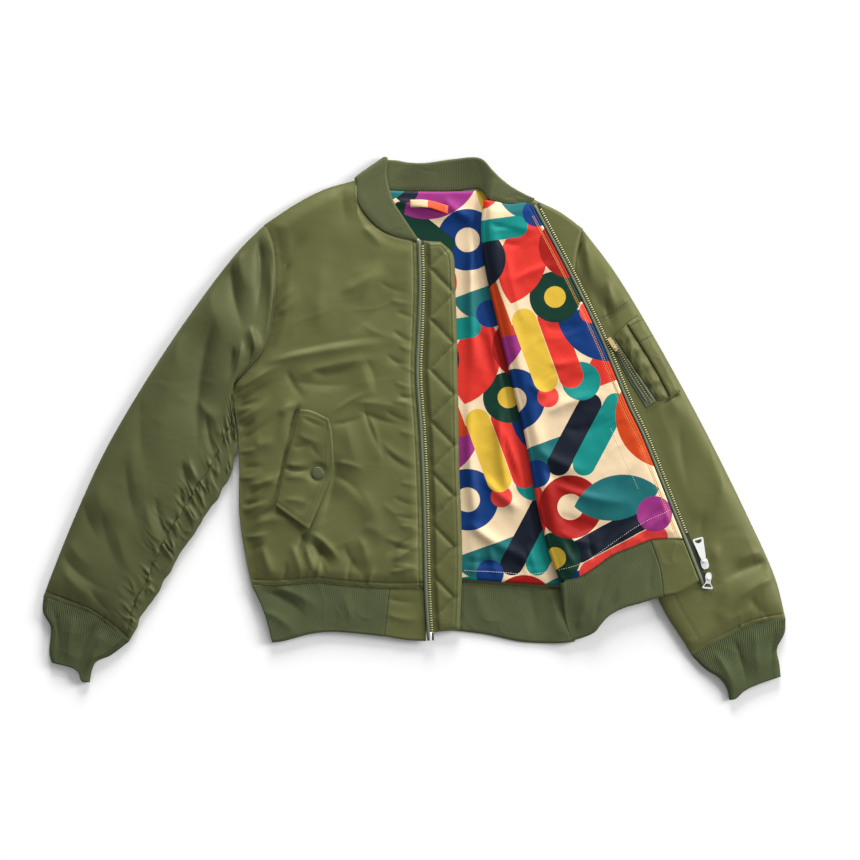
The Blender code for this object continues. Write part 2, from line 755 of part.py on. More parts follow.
COLLAR_FRONT_Z = 10.0
COLLAR_BACK_Z = COLLAR_WALL / 2
# The free edge at each station of the neck seams, from the right front's zip round to the left's.
COLLAR_RIGHT = table(
    "free_x free_y z",
    (6, 248, 10.0),
    (4, 251, 10.0),
    (-14, 278, 10.0),
    (-26, 298, 10.0),
    (-34, 328, 10.0),
)
COLLAR_BACK = table(
    "free_x free_y z",
    (-20, 350, 2.0),
    (-5, 347, 2.0),
    (16, 346, 2.0),
    (52, 351, 2.0),
    (86, 352, 8.7),
)
COLLAR_LEFT = table(
    "free_x free_y z",
    (103, 336, 15.7),
    (112, 327, 15.7),
    (128, 314.5, 15.7),
    (147, 304, 15.7),
    (158.5, 299, 15.7),
)
COLLAR_FOLD = ((-73, 327.2), (-35, 354.3))
ROUND_ANGLES = (90, 60, 20, -20, -60, -90)


def neck_seam(points):
    """The neck stations moved off the cloth by the seam's gap, towards the collar."""
    curve = stations(points)
    count = len(points) - 1
    return [offset(curve, -SEAM_GAP)(k / count) for k in range(count + 1)]


def make_collar():
    """One strip of rib: over the right front, round under itself at the neck, and on to the left."""
    fold = smooth(COLLAR_FOLD)
    middle = (COLLAR_FRONT_Z + COLLAR_BACK_Z) / 2
    radius = (COLLAR_FRONT_Z - COLLAR_BACK_Z) / 2
    along = (fold(1) - fold(0)).normalized()
    out = Vector((-along.y, along.x))
    half = COLLAR_WALL / 2
    right = neck_seam(NECK_RIGHT)[:0:-1]
    back = neck_seam(NECK_BACK)[1:-1]
    left = neck_seam(TURNED_NECK_EDGE)
    turns = [("round", radians(angle), None) for angle in ROUND_ANGLES]
    strip = [("front", row, seam) for row, seam in zip(COLLAR_RIGHT, right)] + turns
    strip += [("back", row, seam) for row, seam in zip(COLLAR_BACK + COLLAR_LEFT, back + left)]

    def place(k, t, side):
        part, row, seam = strip[k]
        if part == "round":
            spot = fold(t) + out * ((radius + side) * cos(row) - radius)
            return spot.x, spot.y, middle + (radius + side) * sin(row)
        spot = seam.lerp(Vector((row.free_x, row.free_y)), t)
        return spot.x, spot.y, row.z + (side if part == "front" else -side)

    columns = list(range(len(strip)))
    wall(
        "collar", columns, steps(2), lambda k, t: place(k, t, -half), lambda k, t: place(k, t, half), RIB
    )


# ---------------------------------------------------------------- waistband


def make_waistband():
    foot = smooth(WAIST_BACK_FOOT)
    back = patch(foot, offset(smooth(HEM_BACK), SEAM_GAP), smooth(WAIST_SIDE_RIGHT), smooth(WAIST_SIDE_LEFT))
    slab("waistband_back", back, BACK_COLUMNS, steps(2), 0.0, RIB_WALL, RIB)

    hem = offset(faceted(smooth(HEM_RIGHT), 10), SEAM_GAP)
    seam_top = hem(TAB_SEAM_SHARE)
    side = smooth(WAIST_SIDE_RIGHT)
    foot = smooth(WAIST_RIGHT_FOOT)
    seam = smooth([foot(1), seam_top])
    right = patch(foot, lambda t: hem(t * TAB_SEAM_SHARE), side, seam)
    slab("waistband_right", right, steps(8), steps(2), BAND_Z, RIB_WALL, RIB)

    start = offset(seam, GAP)
    foot = smooth([start(0), *[tuple(row) for row in TAB_RIGHT_FOOT[1:]]])
    top = lambda t: hem(TAB_SEAM_SHARE + (1 - TAB_SEAM_SHARE) * t) + Vector((GAP * (1 - t), 0))
    tab = patch(foot, top, start, smooth([foot(1), top(1)]))
    slab("waist_tab_right", tab, steps(2), steps(2), BAND_Z, TAB_WALL, NYLON)


LEFT_BAND_WALL = 4.0
LEFT_BAND_HIGH = 13.2  # the fold's height at the band's foot
BAND_RISE = 3.0  # how much higher its underside lies at the hem seam


def make_left_waistband():
    fold = smooth(WAIST_LEFT_FOLD)
    full = TURNED_Z + TURNED_WALL
    turn = Turn(
        fold,
        lambda v: BAND_Z + BAND_RISE * v,
        lambda v: LEFT_BAND_HIGH + (full - LEFT_BAND_HIGH) * ease(1.5 * v),
    )
    start = round_edge(turn)
    side = smooth(WAIST_SIDE_LEFT)
    inner_side = lambda v: side(0.04 + 0.92 * v) - Vector((1.5, 0))
    ends = smooth([start(0), inner_side(0)]), smooth([start(1), inner_side(1)])
    under = patch(*ends, start, inner_side)
    seam = offset(TURNED_SEAM, HEM_GAP)
    end = smooth([TAB_LEFT_SEAM[0], TAB_LEFT_SEAM[1], seam(TURNED_TAB_SHARE)])
    foot = smooth([start(0), *WAIST_LEFT_FOOT[1:]])
    over = patch(foot, lambda t: seam(t * TURNED_TAB_SHARE), start, end)

    def rise(u, v):
        return (full - turn.high(v)) * ease(u / 0.4)

    legs = [-1.0, -0.5, 0.0, 0.25, 0.5, 0.75, 1.0] + [1 + u for u in steps(6)[1:]]
    folded_wall("waistband_left", turn, under, over, legs, steps(3), LEFT_BAND_WALL, RIB, rise=rise)

    start = offset(end, HEM_GAP)
    edge = lambda v: SHELL_EDGE_LEFT(0.015 + (SHELL_HEM_AT - 0.02) * v)
    foot = smooth([start(0), *TAB_LEFT_FOOT[1:-1], edge(0)])
    top = smooth([start(1), seam((1 + TURNED_TAB_SHARE) / 2), edge(1)])
    tab = patch(foot, top, start, edge)
    slab("waist_tab_left", tab, steps(2), steps(3), TURNED_Z, TAB_WALL, NYLON)


# ---------------------------------------------------------------- left sleeve's pockets

SLEEVE_TOP_Z = TURNED_Z  # first level free over the left sleeve
TAPE_SLEEVE = patch(
    smooth([(303, 28), (316, 36)]),
    smooth([(256.5, 114), (261, 117)]),
    smooth([(303, 28), (276, 72), (256.5, 114)]),
    smooth([(316, 36), (287, 79), (261, 117)]),
)
PATCH_SLEEVE = patch(
    smooth([(317, 36.5), (325, 37.5), (333, 41)]),
    smooth([(262, 119), (269, 128), (276.5, 136)]),
    smooth([(317, 36.5), (288, 79.5), (262, 119)]),
    smooth([(333, 41), (312.5, 79), (276.5, 136)]),
)
PEN_SLEEVE = patch(
    smooth([(334, 41.5), (347.5, 49)]),
    smooth([(277.5, 137), (295, 149)]),
    smooth([(334, 41.5), (313.5, 79.5), (277.5, 137)]),
    smooth([(347.5, 49), (337, 73), (295, 149)]),
)


def make_sleeve_pocket():
    slab("sleeve_pocket_tape", TAPE_SLEEVE, steps(1), steps(4), SLEEVE_TOP_Z, TAPE_WALL, TAPE)
    slab("sleeve_pocket", PATCH_SLEEVE, steps(3), steps(6), SLEEVE_TOP_Z, FLAP_WALL, NYLON)
    slab("pen_pocket", PEN_SLEEVE, steps(2), steps(5), SLEEVE_TOP_Z, FLAP_WALL, NYLON)


# ---------------------------------------------------------------- sliders and pull tabs

Slider = namedtuple("Slider", "name pull x y z heading nose tail wide tall bar pull_long pull_wide slope tip")
BAR = 0.8  # radius of the pull's cross bar
CLEAR = 0.4
CHEEK = 1.7
ARCH_WALL = 1.3
SLIDERS = (
    # The upper slider's pull points up the zip and the lower one's points down it.
    Slider(
        "zip_slider_upper", "zip_pull_upper", 377.6, -171.3, TURNED_Z + 0.1, 105.5, 2.8, 10.5, 9.5, 3.2,
        2.2, 31.0, 14.0, 5.5, "hole"
    ),
    Slider(
        "zip_slider_lower", "zip_pull_lower", 383.2, -193.8, TURNED_Z + 0.1, -95.0, 2.8, 7.5, 8.0, 3.2,
        2.2, 13.5, 14.0, 5.5, "hole"
    ),
    Slider(
        "sleeve_pocket_slider", "sleeve_pocket_pull", 261.8, 105.5, TURNED_Z + TAPE_WALL + GAP, 122.0, 2.6,
        5.0, 5.6, 2.2, 1.6, 15.0, 5.2, 0.0, "plain"
    ),
)


def placed(slider, extra=0.0):
    """Moves a piece made about its hinge, pointing along +X, to its place on the jacket."""
    axis_z = slider.z + slider.tall + BAR + CLEAR
    turn = Matrix.Rotation(radians(slider.heading), 4, "Z")
    tilt = Matrix.Rotation(radians(extra), 4, "Y")
    return Matrix.Translation(Vector((slider.x, slider.y, axis_z)) * MM) @ turn @ tilt


def prism(bm, outline, z_low, z_high):
    """An outline in X and Y, raised from z_low to z_high."""
    ring = [bm.verts.new((x * MM, y * MM, z_low * MM)) for x, y in outline]
    face = bm.faces.new(ring)
    made = bmesh.ops.extrude_face_region(bm, geom=[face])
    top = [item for item in made["geom"] if isinstance(item, bmesh.types.BMVert)]
    bmesh.ops.translate(bm, verts=top, vec=(0, 0, (z_high - z_low) * MM))


def arc(cx, cy, radius, start, stop, count):
    """Points round a centre, from one angle in degrees to another."""
    angles = [radians(start + (stop - start) * k / count) for k in range(count + 1)]
    return [(cx + radius * cos(a), cy + radius * sin(a)) for a in angles]


def make_slider(slider):
    """A slider's body with the arch that holds its pull. Its hinge is the origin until placed."""
    floor = -(BAR + CLEAR)
    half = slider.wide / 2
    body = [(slider.nose, half * 0.7), (slider.nose, -half * 0.7), (slider.nose - 2.2, -half)]
    body += [(-slider.tail + 3, -half), (-slider.tail, -half * 0.55), (-slider.tail, half * 0.55)]
    body += [(-slider.tail + 3, half), (slider.nose - 2.2, half)]
    bm = bmesh.new()
    prism(bm, body, floor - slider.tall, floor)
    mesh = bm
    # The arch stands across the pull's bar: feet fore and aft of it, and a round over it.
    inner, outer = BAR + CLEAR, BAR + CLEAR + ARCH_WALL
    loop = [(x, z) for x, z in arc(0, 0, outer, 0, 180, 8)]
    loop += [(-outer, floor - 0.6), (-inner, floor - 0.6)]
    loop += [(x, z) for x, z in arc(0, 0, inner, 180, 0, 8)]
    loop += [(inner, floor - 0.6), (outer, floor - 0.6)]
    arch_bm = bmesh.new()
    ring = [arch_bm.verts.new((x * MM, -slider.bar / 2 * MM, z * MM)) for x, z in loop]
    face = arch_bm.faces.new(ring)
    made = bmesh.ops.extrude_face_region(arch_bm, geom=[face])
    far = [item for item in made["geom"] if isinstance(item, bmesh.types.BMVert)]
    bmesh.ops.translate(arch_bm, verts=far, vec=(0, slider.bar * MM, 0))
    colour = BRASS if slider.tip == "plain" else SILVER
    arch_piece = finish(slider.name + "_arch", arch_bm, colour)
    piece = finish(slider.name, mesh, colour)
    join = piece.modifiers.new("arch", "BOOLEAN")
    join.operation = "UNION"
    join.object = arch_piece
    arch_piece.hide_render = True
    arch_piece.display_type = "WIRE"
    piece.matrix_world = placed(slider)
    arch_piece.matrix_world = placed(slider)
    return piece


def make_pull(slider):
    """A flat pull: an eye round the arch, a tapering plate and, on the zip's pulls, a D hole."""
    eye_half = slider.bar / 2 + CLEAR
    root = eye_half + CHEEK
    eye_reach = BAR + CLEAR + ARCH_WALL + CLEAR
    tip_half = slider.pull_wide / 2
    waist = max(root, tip_half * 0.55)
    corner = min(2.0, tip_half * 0.5)
    long = slider.pull_long
    outline = [(-BAR, -root), (eye_reach + 2.0, -root), (eye_reach + 4.0, -waist)]
    outline += arc(long - corner, -tip_half + corner, corner, -90, 0, 3)
    outline += arc(long - corner, tip_half - corner, corner, 0, 90, 3)
    outline += [(eye_reach + 4.0, waist), (eye_reach + 2.0, root), (-BAR, root)]
    bm = bmesh.new()
    prism(bm, outline, -BAR, BAR)
    colour = BRASS if slider.tip == "plain" else SILVER
    piece = finish(slider.pull, bm, colour)
    holes = [[(BAR, -eye_half), (eye_reach, -eye_half), (eye_reach, eye_half), (BAR, eye_half)]]
    if slider.tip == "hole":
        reach = tip_half - 2.2
        holes.append(arc(long - 2.2, 0, reach, 90, 270, 8))
    for k, hole in enumerate(holes):
        cutter_bm = bmesh.new()
        prism(cutter_bm, hole, -BAR - 1, BAR + 1)
        cutter = finish(f"{slider.pull}_hole_{k}", cutter_bm, colour)
        cutter.hide_render = True
        cutter.display_type = "WIRE"
        cutter.matrix_world = placed(slider, slider.slope)
        cut = piece.modifiers.new("hole", "BOOLEAN")
        cut.operation = "DIFFERENCE"
        cut.object = cutter
    piece.matrix_world = placed(slider, slider.slope)
    return piece


# ---------------------------------------------------------------- the whole jacket


def main():
    for thing in list(bpy.data.objects):
        bpy.data.objects.remove(thing, do_unlink=True)
    make_back()
    make_hanger()
    make_right_front()
    make_hand_pocket()
    make_closure()
    make_zip_pin()
    make_left_front()
    make_left_tape()
    make_sleeve("right", SLEEVE_RIGHT, ARMHOLE_RIGHT, CUFF_SEAM_RIGHT, SLEEVE_FOLDS_RIGHT)
    make_sleeve("left", SLEEVE_LEFT, ARMHOLE_LEFT, CUFF_SEAM_LEFT, SLEEVE_FOLDS_LEFT)
    make_cuff("right", CUFF_RIGHT, CUFF_SEAM_RIGHT)
    make_cuff("left", CUFF_LEFT, CUFF_SEAM_LEFT)
    make_collar()
    make_waistband()
    make_left_waistband()
    make_sleeve_pocket()
    for slider in SLIDERS:
        make_slider(slider)
        make_pull(slider)
    for thing in bpy.data.objects:
        thing.location -= TABLES_MIDDLE.to_3d() * MM


main()
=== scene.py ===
"""The looks of a padded nylon bomber jacket, laid flat on its back with its left front turned open.

Right and left are the wearer's. Tables, sizes and the heights, widths and spacings in the folds'
formulas are in millimetres, drawn about the same point as the jacket's solids, and meshes are in
metres. X runs from the wearer's right to left, Y from the hem to the collar, and Z up from the
surface that the jacket lies on.
"""

from collections import namedtuple
from math import cos, pi, radians, sin

import bmesh
import bpy
import numpy as np
from mathutils import Matrix, Vector
from mathutils.bvhtree import BVHTree


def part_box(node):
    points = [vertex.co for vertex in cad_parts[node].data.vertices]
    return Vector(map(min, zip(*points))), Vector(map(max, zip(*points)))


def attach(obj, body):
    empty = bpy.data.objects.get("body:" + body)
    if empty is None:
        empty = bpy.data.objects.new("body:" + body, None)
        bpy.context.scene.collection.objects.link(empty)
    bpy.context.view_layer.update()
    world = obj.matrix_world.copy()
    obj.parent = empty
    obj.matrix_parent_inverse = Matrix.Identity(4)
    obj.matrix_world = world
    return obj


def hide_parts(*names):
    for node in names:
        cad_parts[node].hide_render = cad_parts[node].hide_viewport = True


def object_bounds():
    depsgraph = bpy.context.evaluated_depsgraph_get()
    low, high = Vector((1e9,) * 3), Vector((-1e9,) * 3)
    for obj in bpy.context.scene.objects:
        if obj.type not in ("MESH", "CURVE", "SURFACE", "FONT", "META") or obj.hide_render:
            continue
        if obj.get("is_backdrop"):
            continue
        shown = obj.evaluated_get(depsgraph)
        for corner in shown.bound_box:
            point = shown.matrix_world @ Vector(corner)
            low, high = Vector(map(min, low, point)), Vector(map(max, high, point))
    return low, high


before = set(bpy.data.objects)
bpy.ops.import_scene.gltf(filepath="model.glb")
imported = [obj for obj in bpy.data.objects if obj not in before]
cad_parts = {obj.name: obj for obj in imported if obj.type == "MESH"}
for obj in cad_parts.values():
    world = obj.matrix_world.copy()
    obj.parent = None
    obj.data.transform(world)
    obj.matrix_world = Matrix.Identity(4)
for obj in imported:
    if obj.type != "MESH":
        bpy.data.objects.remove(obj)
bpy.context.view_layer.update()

MM = 0.001
TABLES_MIDDLE = np.array((2.0, 1.38, 0.0))

# Walls and levels of the solids.
BACK_WALL, LINING_WALL, STRIP_WALL, TURNED_WALL = 6.0, 1.0, 4.0, 4.4
RIB_WALL, COLLAR_WALL, STORM_WALL, TAPE_WALL, GAP = 4.4, 4.0, 2.7, 1.2, 0.3
LINING_Z = BACK_WALL + GAP
FRONT_Z = LINING_Z + LINING_WALL + GAP
STRIP_Z = FRONT_Z + LINING_WALL + GAP
TURNED_Z = STRIP_Z + STRIP_WALL + GAP
TURNED_LINING_Z = TURNED_Z + TURNED_WALL + GAP
BAND_Z = RIB_WALL + GAP
TAPE_RIGHT_Z = FRONT_Z + STORM_WALL + GAP
SLEEVE_HIGH = TURNED_Z - GAP
CLOTH = 1.2  # a thin shell of nylon with some wadding behind it


def table(columns, *rows):
    """Rows with named columns."""
    row = namedtuple("Row", columns)
    return [row(*values) for values in rows]


# ---------------------------------------------------------------- outlines

SHOULDER_RIGHT = [(-193, 266), (-150, 294), (-114, 312), (-73, 324)]
ARMHOLE_RIGHT = [(-237, 54), (-212, 79), (-194, 103), (-185, 140), (-180, 190), (-183, 236), (-193, 266)]
SIDE_RIGHT = [(-210, -203), (-217, -170), (-226, -110), (-226, -50), (-229, 0), (-237, 54)]
NECK_RIGHT = [(-73, 324), (-71, 296), (-52, 269), (-30, 255), (0, 247), (5, 245)]
CENTRE_RIGHT = [(14, -207), (12, -99), (8, -6), (3, 70), (5, 130), (6.5, 185), (5, 245)]
HEM_RIGHT = [(-210, -203), (-168, -203), (-126, -200), (-98, -203), (-38, -207), (14, -207)]
SHOULDER_LEFT = [(100, 322), (131, 311), (160, 297), (191, 282), (221, 260)]
ARMHOLE_LEFT = [(266, 54), (243, 83), (224, 118), (214, 160), (211, 200), (214, 233), (221, 260)]
SIDE_LEFT = [(238, -206), (246, -170), (253, -120), (256, -60), (258, -10), (266, 54)]
NECK_BACK = [(-73, 324), (-50, 313), (-26, 310), (8, 309), (52, 309), (85, 311), (100, 322)]
HEM_BACK = [(-210, -203), (-126, -202), (-38, -204), (64, -199), (114, -202), (172, -206), (238, -206)]
FOLD = [
    (190, -197), (173, -148), (160, -92), (146, -14), (133, 40), (121, 90), (105, 157), (94, 207),
    (88, 259), (92, 297),
]
TURNED_NECK = [(104, 295.5), (126, 291.5), (146, 293.5)]
TURNED_HEM = [(216, -191), (239, -177), (257, -164), (286, -152), (311, -143)]
ZIP_LEFT = [(384, -201), (360, -140), (344, -100), (306, -5), (287, 35), (251, 122), (213, 201), (164, 294)]
ZIP_LEFT_WIDTH = 10.5
WAIST_BACK_FOOT = [
    (-183, -276), (-150, -270), (-108, -262), (-36, -268), (30, -262), (90, -267), (138, -277),
    (165, -279), (190, -279), (210, -277),
]
WAIST_RIGHT_FOOT = [(-183, -278), (-168, -276), (-134, -267), (-108, -264), (-75, -266), (-38, -270)]
TAB_RIGHT_FOOT = [(-38, -270), (-6, -275), (17, -276)]
WAIST_SIDE_RIGHT = [(-183, -278), (-191, -247), (-199, -226), (-210, -203)]
WAIST_SIDE_LEFT = [(210, -277), (228, -240), (238, -206)]
WAIST_LEFT_FOLD = [(204, -276), (196, -240), (190.5, -200)]
WAIST_LEFT_FOOT = [
    (222, -271), (236, -264), (244, -254), (254, -243), (272, -233), (296, -226), (325, -217),
]
TAB_LEFT_SEAM = [(325, -217), (320, -180), (311, -143)]
SLEEVE_RIGHT = table(
    "outer_x outer_y inner_x inner_y seam",
    (-192.2, 266.6, -237.2, 55.2, 13),
    (-228, 231, -234.2, 22, 32),
    (-286, 155, -228.8, -30, 38),
    (-343, 70, -247, -86, 35),
    (-399, -25, -287, -142, 31),
    (-438, -109, -325, -204, 26),
    (-468, -183, -352, -250, 18),
    (-481, -218, -370, -277, 6),
)
SLEEVE_LEFT = table(
    "outer_x outer_y inner_x inner_y seam",
    (220.3, 260.4, 266.2, 55.2, 10),
    (260, 208, 271, 20, 18),
    (298, 147, 272, -40, 24),
    (345, 64, 276, -100, 25),
    (389, -19, 289, -158, 24),
    (437, -117, 317, -220, 21),
    (471, -193, 337, -255, 19),
    (485, -247, 363, -295, 17),
)
CUFF_SEAM_RIGHT = [(-370, -277), (-398, -254), (-421, -239), (-448, -229), (-481, -218)]
CUFF_SEAM_LEFT = [(363, -295), (382, -283), (411, -269), (434, -257), (461, -250), (485, -247)]

# ---------------------------------------------------------------- curves and surfaces


def smooth(points):
    """A curve through the points, read from 0 to 1 along its length."""
    spots = np.array(points, float)
    knots = np.append(0.0, np.cumsum(np.linalg.norm(np.diff(spots, axis=0), axis=1)))
    last = len(spots) - 1
    places = np.arange(last + 1)
    low, high = np.maximum(places - 1, 0), np.minimum(places + 1, last)
    slopes = (spots[high] - spots[low]) / (knots[high] - knots[low])[:, None]

    def at(t):
        reach = np.clip(np.asarray(t, float), 0, 1) * knots[-1]
        i = np.clip(np.searchsorted(knots, reach) - 1, 0, last - 1)
        span = (knots[i + 1] - knots[i])[..., None]
        f = (reach - knots[i])[..., None] / span
        ahead = slopes[i] * span * (f**3 - 2 * f**2 + f) + slopes[i + 1] * span * (f**3 - f**2)
        return spots[i] * (2 * f**3 - 3 * f**2 + 1) + spots[i + 1] * (3 * f**2 - 2 * f**3) + ahead

    return at


def end_to_end(first, second, share):
    """Two curves as one, with the first over the given share of 0 to 1."""

    def at(t):
        t = np.asarray(t, float)
        late = (t > share)[..., None]
        return np.where(late, second((t - share) / (1 - share)), first(t / share))

    return at


def offset(curve, distance):
    """The curve moved to its right by a distance, which may be a function of t."""

    def at(t):
        t = np.asarray(t, float)
        along = curve(np.minimum(t + 0.004, 1)) - curve(np.maximum(t - 0.004, 0))
        along = along / np.linalg.norm(along, axis=-1)[..., None]
        far = distance(t)[..., None] if callable(distance) else distance
        return curve(t) + np.stack([along[..., 1], -along[..., 0]], -1) * far

    return at


def bulge(curve, t):
    """How far a curve stands off the straight line between its ends."""
    t = np.asarray(t, float)
    f = t[..., None]
    return curve(t) - curve(0.0) * (1 - f) - curve(1.0) * f


def patch(foot, top, start, end, fade=1):
    """The surface between four edges: foot and top run along u, start and end along v."""

    def at(u, v):
        side, up = np.asarray(u)[..., None], np.asarray(v)[..., None]
        sides = bulge(start, v) * (1 - side) ** fade + bulge(end, v) * side**fade
        return foot(u) * (1 - up) + top(u) * up + sides

    return at


def panel(foot, top, start, end):
    """A patch between four lists of points."""
    return patch(smooth(foot), smooth(top), smooth(start), smooth(end))


def ease(x):
    """From 0 to 1, with no corner at either end."""
    x = np.clip(x, 0, 1)
    return x * x * (3 - 2 * x)


def edge_reach(surface, u, v, edge):
    """The distance from points of a patch to one of its named edges."""
    zero, one = np.zeros_like(u), np.ones_like(u)
    across = {"start": (zero, v), "end": (one, v), "foot": (u, zero), "top": (u, one)}
    return np.linalg.norm(surface(u, v) - surface(*across[edge]), axis=-1)


def along_edge(surface, u, v, edge):
    """The length along a named edge, beside points of its patch."""
    t = np.linspace(0, 1, 60)
    fixed = np.full_like(t, 0.0 if edge in ("start", "foot") else 1.0)
    line = surface(fixed, t) if edge in ("start", "end") else surface(t, fixed)
    length = np.append(0.0, np.cumsum(np.linalg.norm(np.diff(line, axis=0), axis=1)))
    return np.interp(v if edge in ("start", "end") else u, t, length)


# ---------------------------------------------------------------- folds of the cloth

CREASE = "x0 y0 x1 y1 bend left right high"
FOLD_DEPTH = 2.3  # wadded cloth folds deeper than the thin cloth that the heights are given for
RIDGE_ROUND, TROUGH_ROUND = 1.45, 1.15  # a ridge is rounder along its top than a trough is at its foot
TILE = 64  # the bumps on each side of a tile of random heights


def uneven(x, y, size, seed):
    """Smooth random heights from -1 to 1, with bumps about the given size apart."""
    grid = np.random.default_rng(seed).uniform(-1, 1, (TILE, TILE))
    x, y = np.asarray(x) / size + 1000.3, np.asarray(y) / size + 1000.7
    i, j = np.floor(x).astype(int), np.floor(y).astype(int)
    fx, fy = ease(x - i), ease(y - j)
    left, right = i % TILE, (i + 1) % TILE
    near, far = (grid[left, k % TILE] * (1 - fx) + grid[right, k % TILE] * fx for k in (j, j + 1))
    return near * (1 - fy) + far * fy


def creases(rows, x, y):
    """Soft ridges and troughs. Each runs from (x0, y0) to (x1, y1), widens on the way, bows to its
    right by bend, and falls off over left and right, the widths of its two sides."""
    total = np.zeros_like(x)
    for row in rows:
        ax, ay = row.x1 - row.x0, row.y1 - row.y0
        long = np.hypot(ax, ay)
        share = ((x - row.x0) * ax + (y - row.y0) * ay) / long**2
        off = ((x - row.x0) * ay - (y - row.y0) * ax) / long - row.bend * 4 * share * (1 - share)
        wide = np.where(off < 0, row.left, row.right) * (0.6 + 0.6 * np.clip(share, 0, 1))
        ends = ease(share / 0.3 + 0.2) * ease((1 - share) / 0.6 + 0.1)
        round_top = RIDGE_ROUND if row.high > 0 else TROUGH_ROUND
        total += row.high * np.exp(-np.abs(off / wide) ** round_top) * ends
    return FOLD_DEPTH * total


def wrinkles(x, y, turn, long, wide, seed):
    """Thin crease lines from 0 to 1 high, uneven in length and spacing, that run in a direction."""
    c, s = cos(radians(turn)), sin(radians(turn))
    along, over = x * c + y * s, y * c - x * s
    over = over + 0.4 * wide * uneven(along, over, long * 0.6, seed + 1)
    lines = 1 - np.abs(uneven(along * wide / long, over, wide, seed))
    return lines**4 * ease(0.6 + uneven(along, over, long * 0.8, seed + 2))


def ripples(*settings):
    """Wrinkles that take about as much below the cloth's level as they raise above it."""
    return wrinkles(*settings) - 0.3


def pucker(surface, u, v, edge, pitch, high, reach, seed):
    """The gathers that a seam draws in beside it, closer together than they are deep."""
    away = edge_reach(surface, u, v, edge)
    along = along_edge(surface, u, v, edge)
    waves = uneven(along, away * 0.35, pitch, seed) + 0.5 * uneven(along, away * 0.5, pitch / 2, seed + 1)
    return high * waves * np.exp(-away / reach) * ease(away / 2.5 + 0.2)


# ---------------------------------------------------------------- materials

WAVE = 0.314  # metres between a wave texture's lines at a scale of 1


def paint(code):
    """An sRGB hex colour as linear red, green, blue and alpha."""
    parts = [int(code[k : k + 2], 16) / 255 for k in (1, 3, 5)]
    return (*[c / 12.92 if c <= 0.04045 else ((c + 0.055) / 1.055) ** 2.4 for c in parts], 1.0)


def add(tree, kind, inputs=(), **settings):
    """A new node's outputs, once it has its settings and its inputs' values or links."""
    node = tree.nodes.new("ShaderNode" + kind)
    for key, value in settings.items():
        setattr(node, key, value)
    for key, value in dict(inputs).items():
        if isinstance(value, bpy.types.NodeSocket):
            tree.links.new(value, node.inputs[key])
        else:
            node.inputs[key].default_value = value
    return node.outputs


def material(name, inputs):
    """A new material, its node tree and its shader with plain values set on it."""
    made = bpy.data.materials.new(name)
    made.use_nodes = True
    tree = made.node_tree
    shader = tree.nodes["Principled BSDF"]
    for key, value in inputs.items():
        shader.inputs[key].default_value = value
    return made, tree, shader


def finished(made, shader, **sockets):
    """The material, with outputs linked to its shader's colour, normal and roughness."""
    for name, socket in sockets.items():
        made.node_tree.links.new(socket, shader.inputs[name.replace("_", " ")])
    return made


def satin_nylon(name, main, shade):
    """Nylon twill over wadding: a soft warm sheen, with fine crumples where the wadding shifts."""
    gloss = {"Roughness": 0.5, "Specular IOR Level": 0.34, "Specular Tint": paint("#e2d8b0")}
    sheen = {"Sheen Weight": 0.16, "Sheen Roughness": 0.4, "Sheen Tint": paint("#a3a074")}
    made, tree, shader = material(name, gloss | sheen)
    place = add(tree, "TexCoord")["Object"]
    cloudy = add(tree, "TexNoise", {"Vector": place, "Scale": 14.0, "Detail": 3.0})["Fac"]
    tint = add(tree, "Mix", {"Factor": cloudy, "A": paint(shade), "B": paint(main)}, data_type="RGBA")
    # The twill's lines are 0.5 mm apart, drawn 1.2 mm apart so that a close view shows them.
    twill = {"Vector": add(tree, "TexCoord")["UV"], "Scale": WAVE / 1.2 / MM, "Distortion": 0.4}
    weave = add(tree, "TexWave", twill, bands_direction="DIAGONAL")["Fac"]
    normal = add(tree, "Bump", {"Height": weave, "Strength": 0.25, "Distance": 0.05 * MM})["Normal"]
    # Crumples run across more than up, and come and go in patches 100 mm or more wide.
    drawn = add(tree, "Mapping", {"Vector": place, "Scale": (0.55, 1.0, 1.0)})["Vector"]
    patchy = add(tree, "TexNoise", {"Vector": place, "Scale": 7.0, "Detail": 2.0})["Fac"]
    shares = {"Value": patchy, "From Min": 0.4, "From Max": 0.66, "To Min": 0.12}
    where = add(tree, "MapRange", shares)["Result"]
    for scale, wander, strength, deep in ((95.0, 0.4, 0.5, 0.5), (34.0, 0.7, 0.7, 1.7)):
        crumples = {"Vector": drawn, "Scale": scale, "Detail": 2.0, "Roughness": 0.5, "Gain": 2.0}
        crumples["Distortion"] = wander
        ridges = add(tree, "TexNoise", crumples, noise_type="RIDGED_MULTIFRACTAL")["Fac"]
        height = add(tree, "Math", {0: ridges, 1: where}, operation="MULTIPLY")[0]
        raised = {"Height": height, "Strength": strength, "Distance": deep * MM, "Normal": normal}
        normal = add(tree, "Bump", raised)["Normal"]
    return finished(made, shader, Base_Color=tint["Result"], Normal=normal)


